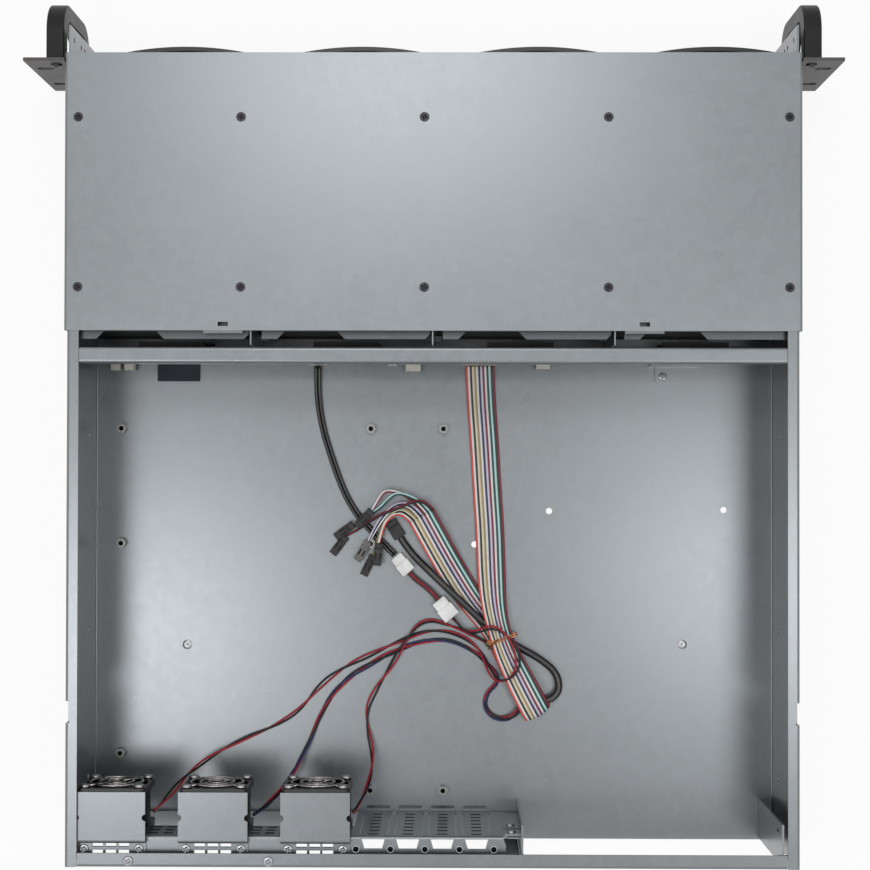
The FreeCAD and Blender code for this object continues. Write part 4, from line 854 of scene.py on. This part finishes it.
class CASE_OT_screws(Operator):
    """Adds the screws of the rail, brackets, guards, cover, handles and flanges, and the rivets"""

    bl_idname = "case.screws"
    bl_label = "Add screws and rivets"

    UP, BACK, FRONT = (0, 0, 1), (0, 1, 0), (0, -1, 0)
    SIDES = (-1, 1)
    TAB = 0.0162                            # half the spacing of a bracket's screws
    HANDLE, HANDLE_LEVELS = 0.2237, (0.01025, 0.07775)
    # places across the case, with distances ahead of the rear plane
    RAIL, RAIL_LINE = (0.1776, 0.0956), 0.0037
    LEDGE_HOLES, LEDGE_LINE = [0.0447 - 0.02032 * i for i in range(5)], 0.0094
    DIVIDER, DIVIDER_LINE, DIVIDER_LEVELS = -0.0471, 0.0184, (0.0515, 0.0715)
    ANGLE, ANGLE_LINE, ANGLE_TOP = -0.1445, 0.2915, 0.0027
    COVER, COVER_LINES = (-0.209, -0.103, 0.005, 0.1128, 0.2086), (0.440, 0.340)
    RIVETS = ((0.1557, 0.1216), (-0.1569, 0.1225))
    STUDS = ((0.1971, (0.05376, 0.18584, 0.25823)), (0.03962, (0.0309, 0.18584, 0.25823)),
             (-0.0061, (0.0309, 0.18584, 0.25823)))
    # radii, then heights or depths
    COVER_HEAD, RIVET, COLLAR = (0.0026, 0.0011), (0.003, 0.0007), (0.0015, 0.0025, 0.0003)
    LEDGE_THREAD, STUD_THREAD = (0.00145, 0.0034), (0.00147, 0.0052)

    def add(self, name, grids, material, slot="guard_wire"):
        """One piece of like heads, holes or rivets."""
        mounted(closed_surface(name, grids, [material], sharp=38))

    def execute(self, context):
        sizes = context.scene.case_screws
        tall = sizes.head_height
        bright = turned_metal("plated_steel", context.scene.case_finishes.screw_colour, 0.3)
        dark = turned_metal("black_zinc", (0.045, 0.045, 0.05), 0.35)
        # painted shade: the thread cups are near black, for the shade down the ledge holes and stud
        # bores
        hole_shade = turned_metal("hole_shade_thread", (0.02, 0.02, 0.021), 0.5)

        rail = [(x, ahead(self.RAIL_LINE), RAIL_TOP) for x in self.RAIL]
        self.add("rail_screws", [pan_head(p, self.UP, sizes.pan_radius, tall) for p in rail], bright)
        tabs = [(c.x + s * self.TAB, ahead(self.LEDGE_LINE), TAB_TOP)
                for c in FAN_CENTRES for s in self.SIDES]
        self.add("bracket_screws",
                 [pan_head(p, self.UP, sizes.small_radius, tall * 0.8) for p in tabs], bright)
        guards = [(c.x + s * GUARD_EYE, GUARD_FACE + 0.0004, c.z + t * GUARD_EYE)
                  for c in FAN_CENTRES for s in self.SIDES for t in self.SIDES]
        self.add("guard_screws",
                 [pan_head(p, self.FRONT, sizes.pan_radius, tall * 0.9) for p in guards], bright)
        flanges = [((self.DIVIDER, ahead(self.DIVIDER_LINE), z), self.FRONT)
                   for z in self.DIVIDER_LEVELS]
        flanges.append(((self.ANGLE, ahead(self.ANGLE_LINE), self.ANGLE_TOP), self.UP))
        self.add("flange_screws", [pan_head(p, axis, sizes.dome_radius, tall) for p, axis in flanges],
                 bright)
        handles = [(s * self.HANDLE, EAR_BACK, z) for s in self.SIDES for z in self.HANDLE_LEVELS]
        self.add("handle_screws",
                 [pan_head(p, self.BACK, sizes.handle_radius, tall * 1.2) for p in handles], dark,
                 "handle_black")
        covers = [(x, ahead(d), COVER_TOP - 0.0002) for x in self.COVER for d in self.COVER_LINES]
        self.add("cover_screws", [flat_head(p, self.UP, *self.COVER_HEAD) for p in covers], dark,
                 "handle_black")
        floor = [(x, ahead(d), FLOOR) for x, d in self.RIVETS]
        self.add("floor_rivets", [rivet(p, self.UP, *self.RIVET) for p in floor], bright)
        ledge = [(x, ahead(self.LEDGE_LINE), LEDGE) for x in self.LEDGE_HOLES]
        self.add("ledge_collars", [collar(p, self.UP, *self.COLLAR) for p in ledge], bright)
        studs = [(x, ahead(d), STUD_TOP) for x, rows in self.STUDS for d in rows]
        self.add("threads", [thread_cup(p, self.UP, *self.LEDGE_THREAD) for p in ledge]
                 + [thread_cup(p, self.UP, *self.STUD_THREAD) for p in studs], hole_shade)
        return {"FINISHED"}


# -------- cords
RIBBON_STEP = 0.0022


def laid(cord, node):
    """Mounts a piece in place of the node it stands for."""
    mounted(cord, node)


def abreast(count):
    """How far each of a number of things in a row is from their middle, counted in spacings."""
    return [k - (count - 1) / 2 for k in range(count)]


def flat_wires(path, count, width):
    """Round wires side by side and level all the way, which together are this wide."""
    side, up = level_frame(path)
    radius = width / count / 2
    return [wire(path, side, up, radius, k * radius * 1.96) for k in abreast(count)]


def twisted_wires(path, at, count, spacing, radius, twist, phase):
    """Wires that turn round a path in a flattened helix, nearer and farther from each other.

    Wire k stands off the path by spacing * cos(turn) across and 0.75 * radius * sin(turn) above,
    where turn grows by one circle in each twist length.
    """
    side, up = level_frame(path)
    loosen = 1.0 + 0.28 * np.sin(math.tau * at / (2.3 * twist) + phase)
    ends = np.clip(np.minimum(at, at[-1] - at) / 0.012, 0.45, 1.0)
    turns = [math.tau * (at / twist + k / count) + phase for k in range(count)]
    return [wire(path, side, up, radius, spacing * loosen * ends * np.cos(turn),
                 0.75 * radius * np.sin(turn)) for turn in turns]


def rolled_wires(path, at, count, pitch):
    """Wires side by side at the ribbon's pitch, rolled slowly about the path as they go on.

    The roll is 0.9 * t * sin(1.5 * pi * t) radians, as t goes from nought at the ribbon to one
    at the plug.
    """
    side, up = carried_frame(path)
    roll = (0.9 * np.sin(1.5 * math.pi * at / at[-1]) * (at / at[-1]))[:, None]
    across, above = np.cos(roll) * side + np.sin(roll) * up, np.cos(roll) * up - np.sin(roll) * side
    drawn_in = np.clip(at / 0.02, 0, 1)
    radius = 0.46 * pitch * (1 - 0.12 * drawn_in)[:, None, None]
    return [wire(path, across, above, radius, k * pitch * (1 - 0.25 * drawn_in))
            for k in abreast(count)]


def ribbon_profile(width, thickness, wires, per_wire=6):
    """Outline of the flat cable: a raised rib over each wire, above and below, with thin webs."""
    across = np.linspace(-0.5, 0.5, wires * per_wire + 1)
    web = 0.28 * thickness / 2
    rib = web + (thickness / 2 - web) * np.abs(np.sin(math.pi * (across + 0.5) * wires)) ** 0.7
    top = np.column_stack([across[::-1] * width, rib[::-1]])
    under = np.column_stack([across * width, -rib])
    u = np.concatenate([0.5 + across[::-1], 0.5 + across[1:-1], [1.0]])
    return np.concatenate([top, under[1:-1]]), u


class CASE_OT_ribbon(Operator):
    """Lays the flat cable of fourteen coloured wires, drawn in by its tie and folded back in a bow"""

    bl_idname = "case.ribbon"
    bl_label = "Lay ribbon cable"

    TIE, TIE_REACH = np.array((-0.042, 0.125)), 0.024
    FOLD_HEADING = np.array((-0.48, 0.877, 0.0))
    BOW, BOW_REACH = 0.0022, 0.012
    DRAWN_IN = 0.2                          # share of the width lost at the tie

    def execute(self, context):
        sizes = context.scene.case_cords
        path, at = spaced_path(RIBBON_ROUTE, RIBBON_STEP)
        side, up = carried_frame(path)
        outline, u = ribbon_profile(sizes.ribbon_width, sizes.ribbon_thickness,
                                    len(RIBBON_COLOURS))
        from_tie = ((path[:, :2] - self.TIE) ** 2).sum(axis=1)
        width = 1.0 - self.DRAWN_IN * np.exp(-from_tie / self.TIE_REACH ** 2)
        fold = np.exp(-((at - at[np.argmax(path[:, 1])]) / self.BOW_REACH) ** 2)
        edge = (2 * outline[:, 0] / sizes.ribbon_width) ** 2
        grid = (path[:, None] + outline[None, :, :1] * (side * width[:, None])[:, None]
                + outline[None, :, 1:] * up[:, None]
                - self.BOW * fold[:, None, None] * edge[None, :, None] * self.FOLD_HEADING)
        bands = ribbon_insulation("ribbon_insulation", RIBBON_COLOURS)
        ribbon = closed_surface("ribbon", [grid], [bands], across=u)
        mounted(ribbon, "ribbon_cable")
        return {"FINISHED"}


class CASE_OT_cables(Operator):
    """Lays the black port cable and the two-core power cable with its link lead"""

    bl_idname = "case.cables"
    bl_label = "Lay port and power cables"

    def execute(self, context):
        sizes = context.scene.case_cords
        black = moulded_plastic("cable_sheath", (0.010, 0.010, 0.011), 0.3, 0.6)

        port = route_curve("port_sheath", PORT_ROUTE)
        port.data.bevel_depth = sizes.port_diameter / 2
        port.data.bevel_resolution = 6
        port.data.use_fill_caps = True
        port.data.materials.append(black)
        laid(port, "port_cable")

        path, _ = spaced_path(POWER_ROUTE, 0.002)
        power = closed_surface("power_cores", flat_wires(path, 2, sizes.power_diameter), [black])
        laid(power, "power_cable")

        path, _ = spaced_path(LINK_ROUTE, 0.0012)
        link = closed_surface("link_wires", flat_wires(path, 3, sizes.link_width),
                              [black, colour_wire(RED)], picks=(0, 1, 0))
        laid(link, "link_lead")
        return {"FINISHED"}


def many_wired(name, grids, colours):
    """One piece of several wires, each in its own colour."""
    return closed_surface(name, grids, [colour_wire(c) for c in colours], picks=range(len(colours)))


class CASE_OT_fan_leads(Operator):
    """Lays each fan's loosely twisted wires from the fan to its connector"""

    bl_idname = "case.fan_leads"
    bl_label = "Lay fan leads"

    def execute(self, context):
        sizes = context.scene.case_cords
        width = sizes.lead_diameter
        leads = zip(FAN_LEAD_ROUTES, FAN_LEAD_COLOURS, LENGTHS["fan"])
        for number, (route, colours, length) in enumerate(leads, 1):
            path, at = spaced_path(route, 0.0018)
            grids = twisted_wires(path, at, len(colours), width * 0.36, width * 0.26, sizes.twist,
                                  1.1 * number)
            laid(many_wired(f"fan_wires_{number}", grids, colours), f"fan_lead_{number}")
        return {"FINISHED"}


class CASE_OT_panel_leads(Operator):
    """Lays the two- and three-wire leads that split off the ribbon's end"""

    bl_idname = "case.panel_leads"
    bl_label = "Lay panel leads"

    def execute(self, context):
        sizes = context.scene.case_cords
        pitch = sizes.ribbon_width / len(RIBBON_COLOURS)
        leads = zip(PANEL_LEAD_ROUTES, PANEL_LEAD_COLOURS, LENGTHS["panel"])
        for number, (route, colours, length) in enumerate(leads, 1):
            path, at = spaced_path(route, 0.0011)
            grids = rolled_wires(path, at, len(colours), pitch)
            laid(many_wired(f"panel_wires_{number}", grids, colours), "panel_leads")
        return {"FINISHED"}


# -------- plugs
class CASE_OT_plugs(Operator):
    """Moulds the black panel plugs, the port cable's block and the leads' connectors"""

    bl_idname = "case.plugs"
    bl_label = "Mould plugs"

    PANEL = (0.0140, 0.0052, 0.0028)
    BLOCK = (0.0120, 0.0080, 0.0046)
    GREY_PLUG = 4
    WHITE_CONNECTORS = (1, 2)
    # a connector's latch and ribs: place along and across, then length, width and height
    RAISED = ((-0.30, 0.0, 0.30, 0.30, 0.12), (0.22, -0.22, 0.30, 0.10, 0.06),
              (0.22, 0.22, 0.30, 0.10, 0.06))

    def panel_plug(self, centre, heading, length, width, height):
        """Body with a waist near its lead end, and two contact windows sunk in its top."""
        l, w, h, e = length / 2, width / 2, height / 2, 0.0003
        body = [(-l, w - e, h - e), (-l + e, w, h), (-l + 0.0024, w, h), (-l + 0.0027, w - e, h),
                (-l + 0.0034, w - e, h - 0.0002), (-l + 0.0037, w, h), (l - e, w, h),
                (l, w - e, h - e)]
        forward, side, up = level_heading(heading)
        windows = [centre + 0.001 * forward + across * width * side + (h - 0.00008) * up
                   for across in (-0.25, 0.25)]
        window = box_stations(0.0042, 0.0011, 0.0003, 0.00008)
        return [housing(centre, heading, body, 10)] + [
            housing(place, heading, window, 8, 24) for place in windows]

    def connector(self, centre, heading, length, width, height):
        """Two mated halves: a collar, a raised latch and a step between them."""
        l, w, h, e = length / 2, width / 2, height / 2, 0.0004
        body = [(-l, w * 0.80, h * 0.80), (-l + e, w * 0.86, h * 0.86), (-l * 0.25, w * 0.86, h * 0.86),
                (-l * 0.22, w - e, h - e), (-l * 0.22 + e, w, h), (l - e, w, h), (l, w - e, h - e)]
        grids = [housing(centre, heading, body, 12)]
        forward, side, up = level_heading(heading)
        for along, across, long, wide, high in self.RAISED:
            level = h * (0.86 if along < 0 else 0.97) - high * height * 0.2
            middle = centre + along * length * forward + across * width * side + level * up
            stations = box_stations(long * length, wide * width, high * height * 0.9, 0.0001)
            grids.append(housing(middle, heading, stations, 8, 28))
        return grids

    def add(self, name, grids, materials, slot, node, picks=None):
        """One moulded piece in place of a node."""
        mounted(closed_surface(name, grids, materials, picks, sharp=35), node)

    def execute(self, context):
        black = moulded_plastic("plug_black", (0.008, 0.008, 0.009), 0.36, 0.35)
        grey = moulded_plastic("plug_grey", (0.14, 0.135, 0.13), 0.38, 0.3)
        white = moulded_plastic("plug_white", (0.74, 0.75, 0.74), 0.3, 0.6)
        contact = moulded_plastic("plug_window", (0.004, 0.004, 0.004), 0.5, 0.2)
        for number, (centre, heading) in enumerate(PANEL_PLUGS, 1):
            body = grey if number == self.GREY_PLUG else black
            self.add(f"panel_plug_{number}", self.panel_plug(centre, heading, *self.PANEL),
                     [body, contact], "plug_black", "panel_plugs", (0, 1, 1))
        block = self.panel_plug(*PORT_BLOCK, *self.BLOCK)[:1]
        self.add("port_block", block, [black], "plug_black", "panel_plugs")
        for number, (centre, heading, sizes) in enumerate(LEAD_PLUGS, 1):
            body = white if number in self.WHITE_CONNECTORS else black
            self.add(f"lead_plug_{number}", self.connector(centre, heading, *sizes), [body],
                     "plug_white", "lead_plugs")
        return {"FINISHED"}


class CASE_OT_twist_tie(Operator):
    """Binds the folded ribbon with a copper-coloured twist tie"""

    bl_idname = "case.twist_tie"
    bl_label = "Bind with twist tie"

    PLACE = (-0.0432, 0.1290, 0.0112)
    TO_FOLD = 110                           # the ribbon's points before its fold
    HALF_WIDTH, HALF_HEIGHT = 0.0098, 0.00125
    SHIFTS, WANDER = (-0.0006, 0.0007), 0.0006      # of the two turns, along the ribbon
    LOOP_WIRE, TAIL_WIRE = 0.00035, 0.00033
    TAIL_ASIDE, TAIL_ABOVE = -0.0030, 0.0019
    TAIL, TAIL_TWIST, TAIL_RADIUS = 0.0085, 0.0022, 0.0004

    def execute(self, context):
        path, _ = spaced_path(RIBBON_ROUTE, RIBBON_STEP)
        side, up = carried_frame(path)
        here = np.argmin(np.linalg.norm(path[:self.TO_FOLD] - self.PLACE, axis=1))
        middle, s, u = path[here], side[here], up[here]
        forward = np.cross(s, u)
        turn = np.linspace(0, math.tau, 73)[:, None]
        across, above = (np.sign(f(turn)) * np.abs(f(turn)) ** 0.35 for f in (np.cos, np.sin))
        grids = []
        for shift in self.SHIFTS:
            loop = (middle + across * self.HALF_WIDTH * s + above * self.HALF_HEIGHT * u
                    + (shift + self.WANDER * np.sin(turn)) * forward)
            grids.append(wire(loop, unit(loop - middle), forward, self.LOOP_WIRE, columns=8))
        # the two ends, twisted round each other and laid along the ribbon
        reach = np.linspace(0, self.TAIL, 48)[:, None]
        start = middle + self.TAIL_ASIDE * s + self.TAIL_ABOVE * u
        tail = start + reach * unit(-0.9 * s + 0.45 * forward)
        for phase in (0, math.pi):
            spin = reach / self.TAIL_TWIST * math.tau + phase
            strand = tail + self.TAIL_RADIUS * (np.cos(spin) * forward + np.sin(spin) * u)
            grids.append(wire(strand, forward, u, self.TAIL_WIRE, columns=8))
        copper = turned_metal("tie_copper", (0.42, 0.17, 0.06), 0.35)
        mounted(closed_surface("twist_tie", grids, [copper]))
        return {"FINISHED"}


# -------- studio
def seen_share(tree):
    """One for what is seen, mirrored or looked through, and nought for the light on things."""
    rays = added(tree, "ShaderNodeLightPath").outputs
    seen = math_node(tree, "MAXIMUM", {0: rays["Is Camera Ray"], 1: rays["Is Glossy Ray"]})
    return math_node(tree, "MAXIMUM", {0: seen, 1: rays["Is Transmission Ray"]})


class CASE_OT_studio(Operator):
    """Puts the case on a pale floor under softboxes, with the camera above it"""

    bl_idname = "case.studio"
    bl_label = "Set up studio"

    # place, width, depth, share of the power
    SOFTBOXES = (((0.46, 0.28, 1.50), 0.34, 0.36, 1.1), ((-0.50, 0.20, 1.50), 0.28, 0.46, 0.95),
                 ((0.06, -0.55, 1.50), 0.50, 0.30, 1.2))
    FLOOR_REACH, FLOOR_SQUARES, FLOOR_LEVEL = 4.0, 8, -0.0002

    def floor(self, brightness):
        """Flat square sheet, as a grid of two parameters, just under the case."""
        count = self.FLOOR_SQUARES
        span = np.linspace(-self.FLOOR_REACH, self.FLOOR_REACH, count + 1)
        x, y = np.meshgrid(span, span)
        points = np.stack([x, y, np.full_like(x, self.FLOOR_LEVEL)], axis=-1).reshape(-1, 3)
        i, j = (a.ravel() for a in np.mgrid[0:count, 0:count])
        corner = i * (count + 1) + j
        faces = np.stack([corner, corner + 1, corner + count + 2, corner + count + 1], axis=1)
        mesh = bpy.data.meshes.new("studio_floor")
        mesh.from_pydata(points.tolist(), [], faces.tolist())
        material, tree = finish("floor_paper", (brightness,) * 3, 0.9, specular=0.1)
        glow = added(tree, "ShaderNodeEmission", values={"Strength": 1.0})
        links = {0: spread(tree, seen_share(tree), 0.0, 0.9), 1: shader(tree).outputs[0],
                 2: glow.outputs[0]}
        mixed = added(tree, "ShaderNodeMixShader", links)
        tree.links.new(mixed.outputs[0], tree.nodes["Material Output"].inputs["Surface"])
        mesh.materials.append(material)
        put_in("studio_floor", mesh)

    def world(self, fill):
        """White room, dimmer for the light on things than for what is seen or mirrored."""
        world = bpy.data.worlds.new("studio")
        world.use_nodes = True
        tree = world.node_tree
        background = tree.nodes["Background"].inputs
        background["Color"].default_value = (1.0, 1.0, 1.0, 1.0)
        tree.links.new(spread(tree, seen_share(tree), fill, 1.0), background["Strength"])
        bpy.context.scene.world = world

    def softbox(self, number, place, width, depth, power):
        """Rectangular lamp that faces the middle of the case's floor."""
        lamp = bpy.data.lights.new(f"softbox_{number}", "AREA")
        lamp.shape = "RECTANGLE"
        lamp.size, lamp.size_y = width, depth
        lamp.energy = power
        holder = put_in(lamp.name, lamp)
        holder.location = place
        holder.rotation_euler = (-holder.location).to_track_quat("-Z", "Y").to_euler()

    def camera(self, settings):
        """Camera above the case, as the settings place, turn and open it."""
        lens = bpy.data.cameras.new("camera")
        lens.angle = settings.camera_view
        lens.clip_start, lens.clip_end = 0.05, 20.0
        holder = put_in("camera", lens)
        holder.location = settings.camera_place
        holder.rotation_euler = settings.camera_turn
        bpy.context.scene.camera = holder

    def execute(self, context):
        settings = context.scene.case_studio
        self.floor(settings.floor_tone)
        self.world(settings.fill)
        for number, (place, width, depth, part) in enumerate(self.SOFTBOXES, 1):
            self.softbox(number, place, width, depth, part * settings.lamp_power)
        self.camera(settings)
        context.scene.view_settings.view_transform = "Standard"
        return {"FINISHED"}


# -------- sidebar and registration
STEPS = (
    CASE_OT_studio, CASE_OT_sheet_metal, CASE_OT_drive_cage, CASE_OT_ears, CASE_OT_backplane,
    CASE_OT_standoffs, CASE_OT_fans, CASE_OT_screws, CASE_OT_plugs, CASE_OT_ribbon,
    CASE_OT_cables, CASE_OT_fan_leads, CASE_OT_panel_leads, CASE_OT_twist_tie)
SETTINGS = (("case_finishes", CaseFinishes), ("case_screws", ScrewSizes),
            ("case_cords", CordSizes), ("case_studio", StudioSettings))


class CASE_PT_steps(Panel):
    """Steps that dress the server case, with their sizes and colours"""

    bl_idname = "CASE_PT_steps"
    bl_label = "Server case"
    bl_space_type = "VIEW_3D"
    bl_region_type = "UI"
    bl_category = "Server case"

    def draw(self, context):
        for step in STEPS:
            self.layout.operator(step.bl_idname)
        for name, group in SETTINGS:
            box = self.layout.box()
            for prop in group.__annotations__:
                box.prop(getattr(context.scene, name), prop)


def register():
    for name, group in SETTINGS:
        bpy.utils.register_class(group)
        setattr(bpy.types.Scene, name, PointerProperty(type=group))
    for step in STEPS:
        bpy.utils.register_class(step)
    bpy.utils.register_class(CASE_PT_steps)


def unregister():
    bpy.utils.unregister_class(CASE_PT_steps)
    for step in reversed(STEPS):
        bpy.utils.unregister_class(step)
    for name, group in reversed(SETTINGS):
        delattr(bpy.types.Scene, name)
        bpy.utils.unregister_class(group)


def main():
    register()
    for step in STEPS:
        getattr(bpy.ops.case, step.bl_idname.removeprefix("case."))()


if __name__ == "__main__":
    main()
